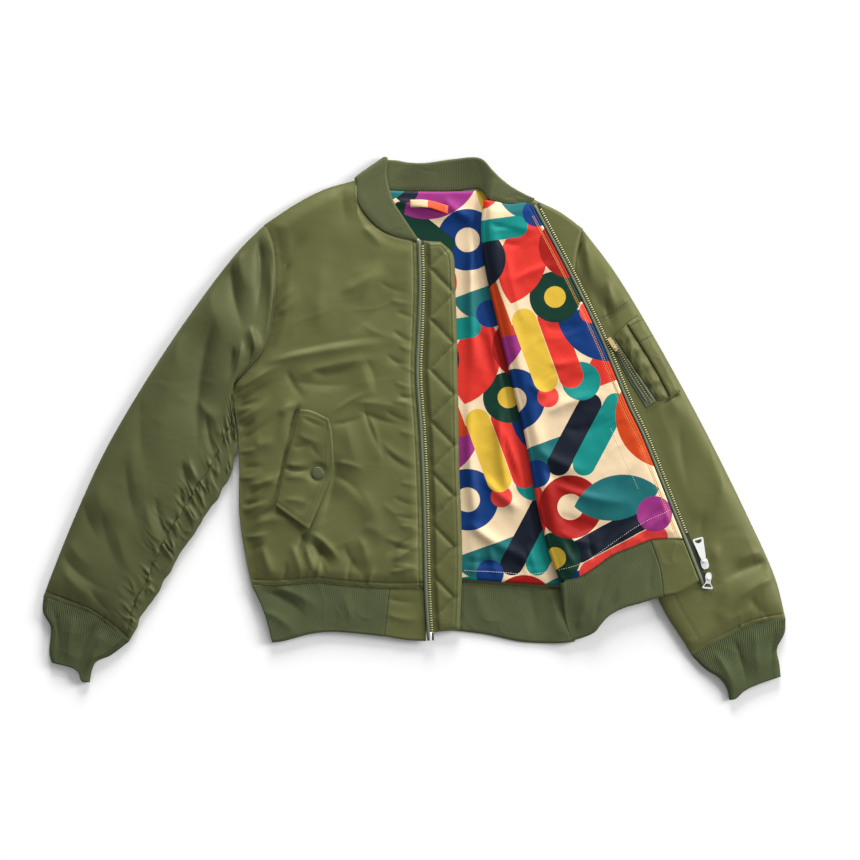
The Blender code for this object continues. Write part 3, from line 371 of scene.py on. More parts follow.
def rib_knit(name, main, painted_groove_shade, pitch):
    """Fine acrylic rib: matte and hairy. Its wales are nearly closed where it lies slack, and open
    beside the seam, where the rib is stretched. The real ones are 1.5 to 2 mm apart when open, and
    are drawn up to 2.7 mm apart so that they show."""
    sheen = {"Sheen Weight": 0.25, "Sheen Roughness": 0.6, "Sheen Tint": paint("#7d8560")}
    made, tree, shader = material(name, {"Roughness": 0.85, "Specular IOR Level": 0.25} | sheen)
    cloth_at = add(tree, "TexCoord")["UV"]
    lines = {"Vector": cloth_at, "Scale": WAVE / pitch / MM, "Distortion": 0.5, "Detail": 1.0}
    wales = add(tree, "TexWave", lines | {"Detail Scale": 0.02})["Fac"]
    along = add(tree, "Mapping", {"Vector": cloth_at, "Scale": (1.0, 0.35, 1.0)})["Vector"]
    loops = add(tree, "TexNoise", {"Vector": along, "Scale": 900.0, "Detail": 3.0, "Roughness": 0.7})["Fac"]
    worn = add(tree, "TexNoise", {"Vector": cloth_at, "Scale": 45.0, "Detail": 3.0})["Fac"]
    stretched = add(tree, "Attribute", attribute_name="stretched")["Fac"]
    swing = add(tree, "Math", {0: wales, 1: 0.5}, operation="SUBTRACT")[0]
    opened = add(tree, "Math", {0: swing, 1: stretched}, operation="MULTIPLY")[0]
    shown = add(tree, "Math", {0: opened, 1: 1.3, 2: 0.62}, operation="MULTIPLY_ADD")[0]
    for seen, low, high in ((loops, 0.55, 1.3), (worn, 0.85, 1.15)):
        mottled = add(tree, "MapRange", {"Value": seen, "To Min": low, "To Max": high})["Result"]
        shown = add(tree, "Math", {0: shown, 1: mottled}, operation="MULTIPLY")[0]
    # Where the wales open, the grooves between them take the second, darker colour: painted shade, mottled
    # by the loops.
    colours = {"Factor": shown, "A": paint(painted_groove_shade), "B": paint(main)}
    tint = add(tree, "Mix", colours, data_type="RGBA")
    relief = add(tree, "Math", {0: wales, 1: stretched}, operation="MULTIPLY")[0]
    ridge = add(tree, "Bump", {"Height": relief, "Strength": 0.8, "Distance": 0.7 * MM})["Normal"]
    fuzz = add(tree, "Bump", {"Height": loops, "Strength": 0.6, "Distance": 0.3 * MM, "Normal": ridge})
    return finished(made, shader, Base_Color=tint["Result"], Normal=fuzz["Normal"])


# The lining's print: bars, discs, half discs, rings and leaves on cream, in a repeat of this size.
REPEAT = (282.0, 338.0)
RED, MADDER, CORAL, ORANGE, YELLOW = "#b7281f", "#87100b", "#c5362f", "#a9340c", "#b9982f"
TEAL, AQUA, GREEN, BLUE, NAVY, PURPLE = "#12585a", "#04706a", "#052c20", "#002a60", "#0b121f", "#7f2568"
CREAM = "#c8b291"
PRINT = table(
    "kind x y turn long wide colour",
    ("disc", 40, 42, 0, 0, 37, RED),
    ("half", 111, 36, 200, 0, 42, TEAL),
    ("bar", 169, 53, 62, 87, 15, NAVY),
    ("bar", 202, 53, 62, 87, 15, AQUA),
    ("leaf", 258, 60, 118, 69, 62, ORANGE),
    ("ring", 91, 98, 0, 12, 28, BLUE),
    ("disc", 135, 102, 0, 0, 14, CORAL),
    ("bar", 33, 113, -38, 69, 14, GREEN),
    ("half", 231, 126, 20, 0, 46, RED),
    ("disc", 178, 122, 0, 0, 25, AQUA),
    ("leaf", 58, 160, 30, 69, 60, PURPLE),
    ("bar", 118, 162, -70, 81, 16, YELLOW),
    ("bar", 151, 167, -70, 81, 16, RED),
    ("disc", 11, 162, 0, 0, 16, NAVY),
    ("leaf", 202, 182, 160, 69, 64, BLUE),
    ("ring", 262, 186, 0, 11, 27, TEAL),
    ("half", 78, 222, 110, 0, 42, ORANGE),
    ("disc", 27, 215, 0, 0, 29, TEAL),
    ("bar", 233, 235, 28, 96, 15, CORAL),
    ("bar", 218, 262, 28, 96, 15, NAVY),
    ("disc", 144, 231, 0, 0, 33, GREEN),
    ("disc", 144, 231, 0, 0, 14, YELLOW),
    ("leaf", 102, 278, 75, 69, 62, RED),
    ("half", 40, 280, 290, 0, 40, NAVY),
    ("ring", 164, 297, 0, 12, 29, MADDER),
    ("bar", 64, 318, 8, 62, 14, AQUA),
    ("leaf", 224, 309, 12, 69, 58, TEAL),
    ("disc", 273, 288, 0, 0, 23, PURPLE),
    ("disc", 120, 2, 0, 0, 18, BLUE),
    ("disc", 9, 76, 0, 0, 15, YELLOW),
)


def printed_lining(name, shift):
    """Printed polyester taffeta: smooth, a little glossy, and thin enough to crease finely."""
    made, tree, shader = material(name, {"Roughness": 0.58, "Specular IOR Level": 0.14})
    in_mm = {"Vector": add(tree, "TexCoord")["UV"], "Location": shift, "Scale": (1 / MM, 1 / MM, 0)}
    spot = add(tree, "Mapping", in_mm)["Vector"]
    corner = (REPEAT[0] / 2, REPEAT[1] / 2, 1)
    ink = paint(CREAM)
    for row in PRINT:
        away = add(tree, "VectorMath", {0: spot, 1: (row.x, row.y, 0)}, operation="SUBTRACT")[0]
        around = {0: away, 1: corner, 2: tuple(-size for size in corner)}
        near = add(tree, "VectorMath", around, operation="WRAP")[0]
        turned = {"Vector": near, "Angle": -radians(row.turn)}
        lying = add(tree, "VectorRotate", turned, rotation_type="Z_AXIS")["Vector"]
        flat = add(tree, "VectorMath", {0: lying}, operation="ABSOLUTE")[0]
        # A leaf is where two wide circles meet, and a bar is a disc drawn out to its length.
        moves = {"leaf": (0, row.long - row.wide / 2, 0), "ring": (0, 0, 0)}
        move = moves.get(row.kind, (-row.long / 2, 0, 0))
        moved = add(tree, "VectorMath", {0: flat, 1: move}, operation="ADD")[0]
        kept = add(tree, "VectorMath", {0: moved, 1: (0, 0, 0)}, operation="MAXIMUM")[0]
        far = add(tree, "VectorMath", {0: kept}, operation="LENGTH")["Value"]
        radius = row.long if row.kind in ("leaf", "ring") else row.wide
        if row.kind == "ring":
            from_band = add(tree, "Math", {0: far, 1: row.wide}, operation="SUBTRACT")[0]
            far = add(tree, "Math", {0: from_band}, operation="ABSOLUTE")[0]
        shown = add(tree, "Math", {0: far, 1: radius}, operation="LESS_THAN")[0]
        if row.kind == "half":
            height = add(tree, "SeparateXYZ", {0: lying})["Y"]
            upper = add(tree, "Math", {0: height, 1: 0.0}, operation="GREATER_THAN")[0]
            shown = add(tree, "Math", {0: shown, 1: upper}, operation="MULTIPLY")[0]
        colours = {"Factor": shown, "A": ink, "B": paint(row.colour)}
        ink = add(tree, "Mix", colours, data_type="RGBA")["Result"]
    place = add(tree, "TexCoord")["Object"]
    creased = add(tree, "TexNoise", {"Vector": place, "Scale": 48.0, "Detail": 5.0})["Fac"]
    soft = add(tree, "Bump", {"Height": creased, "Strength": 0.5, "Distance": 1.4 * MM})
    return finished(made, shader, Base_Color=ink, Normal=soft["Normal"])


def woven(name, main, shade, pitch, roughness=0.75, beyond=None):
    """Narrow woven tape: matte, with its weave's lines close together. Beyond a distance along U it
    may take another colour."""
    made, tree, shader = material(name, {"Roughness": roughness, "Specular IOR Level": 0.3})
    cloth_at = add(tree, "TexCoord")["UV"]
    spaced = {"Vector": cloth_at, "Scale": WAVE / pitch / MM}
    lines = add(tree, "TexWave", spaced, bands_direction="Y")["Fac"]
    tint = add(tree, "Mix", {"Factor": lines, "A": paint(shade), "B": paint(main)}, data_type="RGBA")
    if beyond:
        across = add(tree, "SeparateXYZ", {0: cloth_at})["X"]
        far = add(tree, "Math", {0: across, 1: beyond[0] * MM}, operation="GREATER_THAN")[0]
        colours = {"Factor": far, "A": tint["Result"], "B": paint(beyond[1])}
        tint = add(tree, "Mix", colours, data_type="RGBA")
    bump = add(tree, "Bump", {"Height": lines, "Strength": 0.5, "Distance": 0.2 * MM})
    return finished(made, shader, Base_Color=tint["Result"], Normal=bump["Normal"])


def spun_thread(name, main, shade):
    """Machine thread: two plies that catch the light in turn, drawn as one soft mottling."""
    made, tree, shader = material(name, {"Roughness": 0.6, "Specular IOR Level": 0.35, "Sheen Weight": 0.1})
    place = add(tree, "TexCoord")["Object"]
    plies = add(tree, "TexNoise", {"Vector": place, "Scale": 1100.0, "Detail": 2.0})["Fac"]
    tint = add(tree, "Mix", {"Factor": plies, "A": paint(shade), "B": paint(main)}, data_type="RGBA")
    return finished(made, shader, Base_Color=tint["Result"])


def metal(name, main, worn, roughness, metallic=1.0, coat=0.0):
    """Die-cast metal with a plated, blackened or enamelled face, with faint tumbling marks."""
    made, tree, shader = material(name, {"Metallic": metallic, "Coat Weight": coat, "Coat Roughness": 0.15})
    place = add(tree, "TexCoord")["Object"]
    marks = add(tree, "TexNoise", {"Vector": place, "Scale": 900.0, "Detail": 3.0})["Fac"]
    tint = add(tree, "Mix", {"Factor": marks, "A": paint(worn), "B": paint(main)}, data_type="RGBA")
    shares = {"Value": marks, "To Min": roughness * 0.8, "To Max": roughness * 1.25}
    gloss = add(tree, "MapRange", shares)["Result"]
    bump = add(tree, "Bump", {"Height": marks, "Strength": 0.2, "Distance": 0.05 * MM})["Normal"]
    return finished(made, shader, Base_Color=tint["Result"], Roughness=gloss, Normal=bump)


SHELL = satin_nylon("olive_satin_nylon", "#565834", "#4a4d2d")
# The right sleeve's nylon is a darker copy of the body's: painted shade, for the smaller share of light
# that falls on that sleeve.
SHELL_PAINTED_SHADE = satin_nylon("olive_satin_nylon_painted_shade", "#4c4f31", "#40442a")
SHELL_TRIM = satin_nylon("olive_satin_nylon_trim", "#555733", "#484b2c")
# Each rib's second colour is painted shade for the grooves between its wales.
RIB_BODY = rib_knit("olive_rib_knit", "#4c5334", "#2a3119", pitch=2.4)
RIB_CUFF = rib_knit("olive_rib_knit_cuff", "#474f30", "#262d16", pitch=2.7)
RIB_NECK = rib_knit("olive_rib_knit_collar", "#515537", "#32371c", pitch=2.25)
LINING_BACK = printed_lining("printed_taffeta_back", (20.0, 190.0, 0.0))
LINING_FRONT = printed_lining("printed_taffeta_front", (-40.0, 60.0, 0.0))
# Beyond 5.2 mm across, where the teeth stand, the tape is near black: painted shade between and under the
# teeth.
TAPE = woven("zip_tape_polyester", "#5f6753", "#4c533f", 1.4, beyond=(5.2, "#23281a"))
POCKET_TAPE = woven("zip_tape_polyester_plain", "#5a624f", "#474e3c", 1.4)
TEETH = metal("antique_brass_teeth", "#b5b27a", "#96935e", 0.42, metallic=0.6)
POCKET_TEETH = metal("blackened_brass_teeth", "#8a865a", "#5d5b3b", 0.42, metallic=0.6)
NICKEL = metal("bright_nickel_plate", "#f4f6f5", "#dde2e0", 0.32, metallic=0.55)
BRASS_PULL = metal("polished_brass", "#e6d29c", "#bd9f5e", 0.3, metallic=0.6)
ENAMEL = metal("olive_enamel", "#454a2a", "#3b4024", 0.5, metallic=0.0, coat=0.1)
THREAD = spun_thread("olive_polyester_thread", "#3e432a", "#31361f")
THREAD_ORANGE = spun_thread("orange_polyester_thread", "#d9943f", "#b9722a")
THREAD_PALE = spun_thread("pale_polyester_thread", "#e4dccd", "#c6bcaa")
LOOP_CLOTH = woven("taffeta_strip", "#cdb38c", "#c2a67e", 1.2, 0.55, beyond=(23.0, "#c8451c"))

# ---------------------------------------------------------------- walls of cloth


def mesh_piece(name, bm, finish, node=None):
    """The mesh as a smooth shaded piece that rides with the jacket and may stand for a CAD node."""
    mesh = bpy.data.meshes.new(name)
    bm.to_mesh(mesh)
    bm.free()
    mesh.shade_smooth()
    mesh.materials.append(finish)
    piece = bpy.data.objects.new(name, mesh)
    bpy.context.scene.collection.objects.link(piece)
    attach(piece, "jacket")
    if node:
        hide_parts(node)
    return piece


def wall(name, columns, rows, low, high, finish, node=None, uv=None, ring=False, stretched=None):
    """A closed wall between two faces, low(u, v) and high(u, v), on a grid of columns and rows.

    Where no node is given, it stands for the one that has its name without the last word. uv gives
    the cloth's own coordinates in millimetres, a ring's last column is its first, and stretched
    says how far a knit is drawn out, from 0 to 1."""
    bm = bmesh.new()
    layer = bm.loops.layers.uv.new("UVMap")
    drawn = bm.verts.layers.float.new("stretched")
    across, along = len(columns) - 1, len(rows) - 1
    bmesh.ops.create_grid(bm, x_segments=across, y_segments=along, size=0.5)
    made = bmesh.ops.extrude_face_region(bm, geom=bm.faces[:])
    raised = {item for item in made["geom"] if isinstance(item, bmesh.types.BMVert)}
    if ring:
        ends = [f for f in bm.faces if abs(sum(v.co.x for v in f.verts)) > 0.4999 * len(f.verts)]
        bmesh.ops.delete(bm, geom=ends, context="FACES_ONLY")
    verts = bm.verts[:]
    u = np.array(columns, float)[[round((vert.co.x + 0.5) * across) for vert in verts]]
    v = np.array(rows, float)[[round((vert.co.y + 0.5) * along) for vert in verts]]
    up = np.array([vert in raised for vert in verts])
    places = np.where(up[:, None], high(u, v), low(u, v)) - TABLES_MIDDLE
    places[:, 2] = np.maximum(places[:, 2], 0.0)
    places = places * MM
    for vert, place in zip(verts, places.tolist()):
        vert.co = place
    bm.verts.index_update()
    cloth_at = ((uv(u, v) if uv else high(u, v)[:, :2]) * MM).tolist()
    for face in bm.faces:
        for loop in face.loops:
            loop[layer].uv = cloth_at[loop.vert.index]
    if stretched:
        for vert, share in zip(verts, stretched(u, v).tolist()):
            vert[drawn] = share
    if ring:
        bmesh.ops.remove_doubles(bm, verts=bm.verts[:], dist=1e-6)
    bmesh.ops.recalc_face_normals(bm, faces=bm.faces[:])
    return mesh_piece(name, bm, finish, node or name.rsplit("_", 1)[0])


def spread(low, high, step, length):
    """Columns from low to high, about one step of millimetres apart over a length."""
    return np.linspace(low, high, max(int(round(length / step)), 2) + 1)


def stretches(*parts):
    """Columns over stretches that meet end to end, each given as spread takes it."""
    return np.concatenate([spread(*part)[min(k, 1) :] for k, part in enumerate(parts)])


def finer(columns, edge, reach, step, length):
    """The columns with more of them within a reach of one edge, where a seam's groove is narrow."""
    side = 1 if edge < 0.5 else -1
    extra = edge + side * np.arange(step, reach, step) / length
    kept = columns[np.abs(columns - edge) * length > reach + step / 2]
    return np.unique(np.round(np.concatenate([kept, extra, [edge]]), 6))


def groove(distance, at, wide, deep):
    """How far a line of stitches sinks into the cloth, across it."""
    return -deep * np.exp(-(((distance - at) / wide) ** 2))


def joined(plan, z):
    """Points in plan, with a height or with their heights."""
    return np.concatenate([plan, np.broadcast_to(z, plan.shape[:-1])[..., None]], -1)


def measure(line):
    """A curve's length."""
    t = np.linspace(0, 1, 80)
    return np.sum(np.linalg.norm(np.diff(line(t), axis=0), axis=1))


def pillow(surface, u, v, full, rims):
    """The height of a wadded face: full in its middle, and lower at each named seam."""
    away = [ease(edge_reach(surface, u, v, edge) / reach) for edge, _, reach in rims]
    drops = [(full - low) * (1 - share**0.8) for share, (_, low, _) in zip(away, rims)]
    return full - np.sum(np.power(drops, 4), axis=0) ** 0.25


def copies(name, shape, places, finish):
    """One piece with a copy of a small shape at each place."""
    part = bpy.data.meshes.new(name)
    shape.to_mesh(part)
    shape.free()
    bm = bmesh.new()
    for place in places:
        one = part.copy()
        one.transform(place)
        bm.from_mesh(one)
        bpy.data.meshes.remove(one)
    bpy.data.meshes.remove(part)
    return mesh_piece(name, bm, finish)


def dropper(*pieces):
    """The height in millimetres of the highest of some pieces at places in the tables' millimetres."""
    trees = []
    for piece in pieces:
        bm = bmesh.new()
        bm.from_mesh(piece.data)
        trees.append(BVHTree.FromBMesh(bm))
        bm.free()

    def height(plan, otherwise=0.0):
        found = []
        for x, y in np.asarray(plan, float).reshape(-1, 2) - TABLES_MIDDLE[:2]:
            above = Vector((x * MM, y * MM, 0.08))
            hits = [tree.ray_cast(above, Vector((0, 0, -1)))[0] for tree in trees]
            found.append(max([hit.z / MM for hit in hits if hit] or [otherwise]))
        return np.array(found)

    return height


def stitches(name, line, pitch, height, finish, long=2.3, thick=0.55, sink=0.12, gaps=()):
    """A row of machine stitches along a line, lying on the cloth under them.

    height gives the cloth's height at places, or is one level, and gaps are shares of the line
    with no stitches."""
    length = measure(line)
    count = max(int(length / pitch), 2)
    t = (np.arange(count) + 0.5) / count
    t = np.array([share for share in t if not any(low < share < high for low, high in gaps)])
    ends = [line(np.clip(t + side * long / 2 / length, 0, 1)) for side in (-1, 1)]
    tops = [height(end) if callable(height) else np.full(len(t), height) for end in ends]
    bead = bmesh.new()
    bmesh.ops.create_icosphere(bead, subdivisions=1, radius=0.5)
    size = Matrix.Diagonal((long * MM, thick * MM, thick * MM, 1))
    places = []
    for (x0, y0), (x1, y1), z0, z1 in zip(*ends, *tops):
        along = Vector((x1 - x0, y1 - y0, z1 - z0))
        middle = Vector(((x0 + x1) / 2 - TABLES_MIDDLE[0], (y0 + y1) / 2 - TABLES_MIDDLE[1], (z0 + z1) / 2))
        middle.z += thick / 2 - sink
        turn = along.to_track_quat("X", "Z").to_matrix().to_4x4()
        places.append(Matrix.Translation(middle * MM) @ turn @ size)
    return copies(name, bead, places, finish)


def beside(x, y, line):
    """How far a place lies to the right of a line that runs up the jacket."""
    rows = np.array(line, float)
    lean = np.hypot(*(rows[-1] - rows[0])) / (rows[-1, 1] - rows[0, 1])
    return (x - np.interp(y, rows[:, 1], rows[:, 0])) / lean


# ---------------------------------------------------------------- back

SIDE_SHARE = 0.54
SIDE_EDGE_RIGHT = end_to_end(smooth(SIDE_RIGHT), smooth(ARMHOLE_RIGHT), SIDE_SHARE)
SIDE_EDGE_LEFT = end_to_end(smooth(SIDE_LEFT), smooth(ARMHOLE_LEFT), SIDE_SHARE)
NECK_FROM, NECK_TO = 0.3, 0.7
NECK_ON = (NECK_TO - NECK_FROM) / (1 - NECK_FROM)
NECK_AND_SHOULDER = end_to_end(smooth(NECK_BACK), smooth(SHOULDER_LEFT), NECK_ON)
BACK_TOP = end_to_end(smooth(SHOULDER_RIGHT), NECK_AND_SHOULDER, NECK_FROM)
BACK = patch(smooth(HEM_BACK), BACK_TOP, SIDE_EDGE_RIGHT, SIDE_EDGE_LEFT)
BACK_CREASES = table(
    CREASE,
    (-170, 250, -120, 90, 10, 9, 12, 2.2),
    (190, 240, 150, 90, -10, 10, 12, 2.0),
    (-205, 40, -90, 96, 8, 8, 10, 2.0),
    (240, 40, 130, 100, -8, 8, 10, 2.2),
    (-200, -40, -130, -20, 4, 8, 9, 1.6),
    (215, -60, 140, -30, -5, 8, 9, 1.6),
    (-190, -130, -60, -165, 6, 9, 9, 1.9),
    (225, -120, 60, -160, -8, 9, 11, 2.1),
    (-60, -190, -40, -110, 4, 6, 7, 1.5),
    (90, -190, 70, -100, -4, 6, 7, 1.6),
    (-30, 60, 50, 20, 8, 12, 14, 1.6),
    (-80, 290, 90, 285, -10, 10, 8, 1.4),
)
LINING_BACK_CREASES = table(
    CREASE,
    (78, 250, 84, 60, 6, 6, 9, 2.2),
    (96, 200, 118, 40, -7, 8, 6, 2.4),
    (70, 40, 88, -150, 5, 7, 8, 2.6),
    (112, 30, 138, -130, 7, 7, 8, 2.2),
    (90, -60, 150, -110, 5, 6, 6, 1.8),
    (-30, 296, 60, 268, -6, 5, 7, 1.6),
    (40, 300, 96, 262, 5, 6, 6, 1.8),
    (72, -120, 160, -172, 6, 7, 7, 2.2),
    (100, -150, 112, -196, 2, 5, 5, 1.6),
    (140, -160, 150, -198, -2, 5, 5, 1.4),
    (98, 150, 132, 20, 5, 6, 5, 2.2),
    (84, 130, 100, 60, -4, 6, 6, -1.4),
    (120, 0, 150, -80, 3, 5, 5, 2.0),
    (64, -170, 176, -178, 2, 3, 4, -1.6),
    (150, -150, 166, -196, 2, 4, 4, 1.5),
    (128, -166, 132, -198, 1, 4, 4, -1.2),
    (82, -160, 78, -198, -1, 4, 5, 1.2),
)


def body_rows(step):
    """Rows up the body, with one at the foot of the armholes."""
    return stretches((0, SIDE_SHARE, step, 262), (SIDE_SHARE, 1, step, 222))


def make_back():
    """The back's shell with its creases on its underside, and the lining that shows inside it."""

    def low(u, v):
        plan = BACK(u, v)
        x, y = plan.T
        side = np.minimum(edge_reach(BACK, u, v, "start"), edge_reach(BACK, u, v, "end"))
        lift = 3.2 * (1 - ease(side / 18))
        folds = creases(BACK_CREASES, x, y) + 0.7 * uneven(x, y, 38, 3) + 0.5 * wrinkles(x, y, 8, 60, 20, 4)
        folds = folds + 1.2 * np.abs(pucker(BACK, u, v, "foot", 13, 1.0, 22, 5))
        return joined(plan, lift + np.maximum(folds, 0))

    def high(u, v):
        plan = BACK(u, v)
        rims = [("start", 5.0, 20), ("end", 5.0, 20), ("foot", RIB_WALL, 16), ("top", RIB_WALL, 20)]
        return joined(plan, pillow(BACK, u, v, BACK_WALL, rims))

    columns = stretches((0, NECK_FROM, 4, 140), (NECK_FROM, NECK_TO, 4, 190), (NECK_TO, 1, 4, 140))
    wall("back_shell_cloth", columns, body_rows(4), low, high, SHELL)

    def top(u, v):
        at_neck = ease((u - NECK_FROM - 0.01) / 0.02) * ease((NECK_TO - u) / 0.02)
        plan = BACK(0.02 + 0.96 * u, 0.006 + (0.982 + 0.012 * at_neck) * v)
        x, y = plan.T
        shown = ease((x - 64) / 14) * ease((-6 - beside(x, y, FOLD)) / 12)
        shown = np.maximum(shown, ease((y - 262) / 20) * ease((x + 52) / 20) * ease((88 - x) / 14))
        shown = shown * ease((318 - y) / 14) * ease((y + 206) / 12)
        folds = 1.6 + 1.3 * creases(LINING_BACK_CREASES, x, y) + 1.2 * uneven(x, y, 30, 8)
        folds += 0.4 * uneven(x, y, 11, 9) + 0.9 * wrinkles(x, y, 96, 70, 18, 10)
        return joined(plan, LINING_Z + LINING_WALL + shown * np.clip(folds, 0, 10))

    def under(u, v):
        place = top(u, v)
        place[:, 2] = np.maximum(place[:, 2] - LINING_WALL, LINING_Z)
        return place

    columns, rows = spread(0, 1, 3.4, 450), body_rows(3.4)
    lining = wall("back_lining_cloth", columns, rows, under, top, LINING_BACK)
    hem = smooth([(66, -184), (110, -186), (150, -189), (176, -186)])
    stitches("lining_hem_stitches", hem, 3.1, dropper(lining), THREAD_PALE, thick=0.8)
    return lining


# ---------------------------------------------------------------- right front

FRONT_TOP = end_to_end(smooth(SHOULDER_RIGHT), smooth(NECK_RIGHT), 0.5)
CENTRE = smooth(CENTRE_RIGHT)
FRONT = patch(smooth(HEM_RIGHT), FRONT_TOP, SIDE_EDGE_RIGHT, CENTRE, fade=3)
FRONT_FULL = 15.2
SNAP_AT, SNAP_FOOT = (-123.5, -57), 16.2
NECK_AT = 0.5  # where the neck begins along the front's top
FRONT_CREASES = table(
    CREASE,
    # across the chest
    (-92, 176, -30, 204, -3, 9, 11, 1.2),
    (-190, 86, -10, 114, -4, 11, 8, 1.9),
    (-176, 96, -6, 122, -5, 9, 7, -1.0),
    (-146, 70, -30, 90, -6, 9, 7, 1.5),
    (-134, 76, -74, 88, 9, 7, 10, -1.8),
    (-160, 62, -62, 58, 3, 14, 10, -1.6),
    (-164, 78, -136, 36, 4, 4, 7, -1.5),
    (-66, 84, -44, 34, 4, 12, 18, 1.0),
    (-62, 92, -50, 36, -6, 8, 9, -0.8),
    (-172, 196, -130, 262, -5, 12, 14, -1.7),
    (-176, 150, -146, 176, 3, 9, 7, 1.1),
    (-78, 126, -14, 204, 5, 14, 12, -1.3),
    (-122, 128, -112, 262, -3, 20, 18, 1.3),
    (-40, 215, -70, 150, 4, 8, 14, 0.9),
    (-66, 262, -40, 232, -4, 8, 7, 1.0),
    (-92, 312, -84, 262, 2, 12, 10, -1.1),
    # from the armpit
    (-232, 40, -168, 84, -5, 6, 5, 2.0),
    (-236, 26, -176, 62, -4, 5, 6, -2.0),
    (-231, 8, -184, 44, 3, 6, 6, 1.6),
    (-226, -14, -180, 18, 3, 5, 7, -1.4),
    (-230, 30, -196, 40, 2, 3, 4, -1.5),
    (-228, 2, -204, 14, 2, 3, 4, -1.3),
    # beside, under and behind the pocket
    (-149, 34, -163, -24, 1, 6, 3.5, -2.4),
    (-162, -20, -181, -102, 0, 6, 3, -1.9),
    (-164, 36, -186, -30, -6, 12, 9, 1.3),
    (-176, 18, -140, 30, -5, 6, 5, 1.3),
    (-212, -74, -168, -56, 3, 5, 6, 1.6),
    (-216, -88, -184, -70, -3, 4, 5, -1.6),
    (-224, -98, -190, -90, 2, 4, 5, -2.0),
    (-220, -108, -184, -96, -3, 5, 6, 1.9),
    (-215, -124, -172, -102, -3, 6, 6, -1.4),
    (-206, -124, -150, -118, -5, 6, 9, 1.2),
    (-119, -146, -112, -194, 4, 5, 8, -2.2),
    (-134, -146, -105, -184, -3, 12, 5, -2.6),
    (-125, -140, -96, -172, -2, 3, 3, 1.0),
    (-99, -36, -122, -142, -3, 22, 8, -2.4),
    (-139, -146, -124, -190, 3, 6, 4, 2.0),
    (-148, -134, -131, -176, -3, 7, 7, -1.4),
    (-106, -62, -44, -140, -9, 24, 16, 1.3),
    (-104, -60, -60, -98, -6, 12, 10, -1.3),
    (-70, -76, -44, -150, -7, 12, 18, 0.9),
    (-66, -126, -34, -150, -6, 12, 14, 1.1),
    (-62, 26, -44, -60, -7, 5, 16, 1.1),
    (-64, 30, -34, -40, 4, 9, 4, -1.3),
    (-74, 34, 0, 22, -4, 5, 10, 1.0),
    (-70, 24, 2, 4, 4, 4, 8, -1.1),
    (-26, -172, 12, -150, -2, 5, 6, 1.7),
    (-34, -164, 8, -138, -3, 4, 6, -1.3),
    (-30, -186, 4, -178, 1, 4, 4, 1.3),
    (-90, -150, -56, -196, 5, 7, 9, -1.3),
    (-158, -150, -146, -198, -3, 6, 7, 1.5),
    (-196, -150, -176, -198, 3, 7, 7, 1.5),
    (-70, -140, -58, -190, -3, 9, 9, 1.3),
    (-206, -20, -176, -14, 2, 9, 9, 1.2),
    (-86, 10, -60, -64, 6, 14, 16, 1.2),
    (-236, 50, -196, 84, -3, 3, 4, 1.5),
    (-235, 44, -204, 66, 2, 3, 3, -1.6),
    (-231, 18, -206, 30, -2, 3, 3, 1.4),
    (-229, -30, -196, -22, 2, 3, 5, 1.2),
    (-228, -52, -190, -50, -2, 4, 4, -1.2),
    (-227, -64, -200, -60, 1, 3, 4, 1.3),
    (-218, -140, -186, -134, 2, 3, 4, 1.4),
    (-216, -160, -190, -150, -2, 4, 5, -1.3),
    (-104, 22, -50, 50, -3, 3, 5, 0.9),
    (-106, 6, -60, 18, 2, 3, 5, -0.9),
    (-101, -42, -60, -54, -2, 3, 6, 0.9),
    (-134, -134, -92, -176, -5, 4, 5, 1.3),
    (-140, -132, -150, -170, 2, 4, 5, -1.4),
    (-126, -196, -118, -160, 1, 3, 3, 1.5),
    (-86, -200, -78, -168, -1, 3, 4, -1.4),
    (-60, -202, -50, -176, 1, 3, 4, 1.3),
    (-170, -198, -164, -172, 1, 3, 4, -1.4),
    (-184, 150, -150, 186, -3, 4, 5, 1.0),
    (-182, 190, -156, 220, 2, 3, 5, -1.1),
)
ZIP_PULLS = table(
    CREASE,
    (-44, 192, 2, 176, 4, 5, 8, -0.8),
    (-30, 168, 2, 162, 1, 3, 5, 0.7),
    (-22, 152, 3, 142, -1, 3, 4, -0.9),
    (-64, 134, 2, 118, 6, 6, 9, 0.8),
    (-26, 128, 2, 112, 2, 3, 4, -1.2),
    (-18, 108, 2, 102, 1, 4, 3, 0.8),
    (-34, 96, 3, 78, 3, 4, 5, -1.3),
    (-20, 84, 3, 74, -1, 3, 3, 0.9),
    (-24, 62, 4, 54, 2, 3, 5, 0.8),
    (-20, 44, 5, 40, 1, 3, 4, -1.4),
    (-28, 36, 5, 28, -2, 4, 4, 1.0),
    (-36, 24, 5, 8, 3, 4, 5, -1.2),
    (-18, -2, 6, -8, 1, 4, 4, 0.8),
    (-40, -16, 7, -46, 5, 6, 6, 1.0),
    (-34, -30, 7, -56, 3, 4, 5, -1.3),
    (-16, -70, 8, -76, -1, 4, 4, 0.8),
    (-26, -88, 8, -100, 2, 3, 4, -0.9),
    (-40, -96, 9, -122, 4, 6, 7, 0.8),
    (-22, -112, 9, -118, 1, 3, 3, -1.3),
    (-18, -126, 9, -130, -1, 3, 4, 1.0),
    (-38, -140, 10, -150, 3, 5, 5, 0.9),
    (-30, -150, 10, -160, 1, 3, 4, -1.3),
    (-28, -176, 11, -184, -2, 3, 4, 0.9),
)


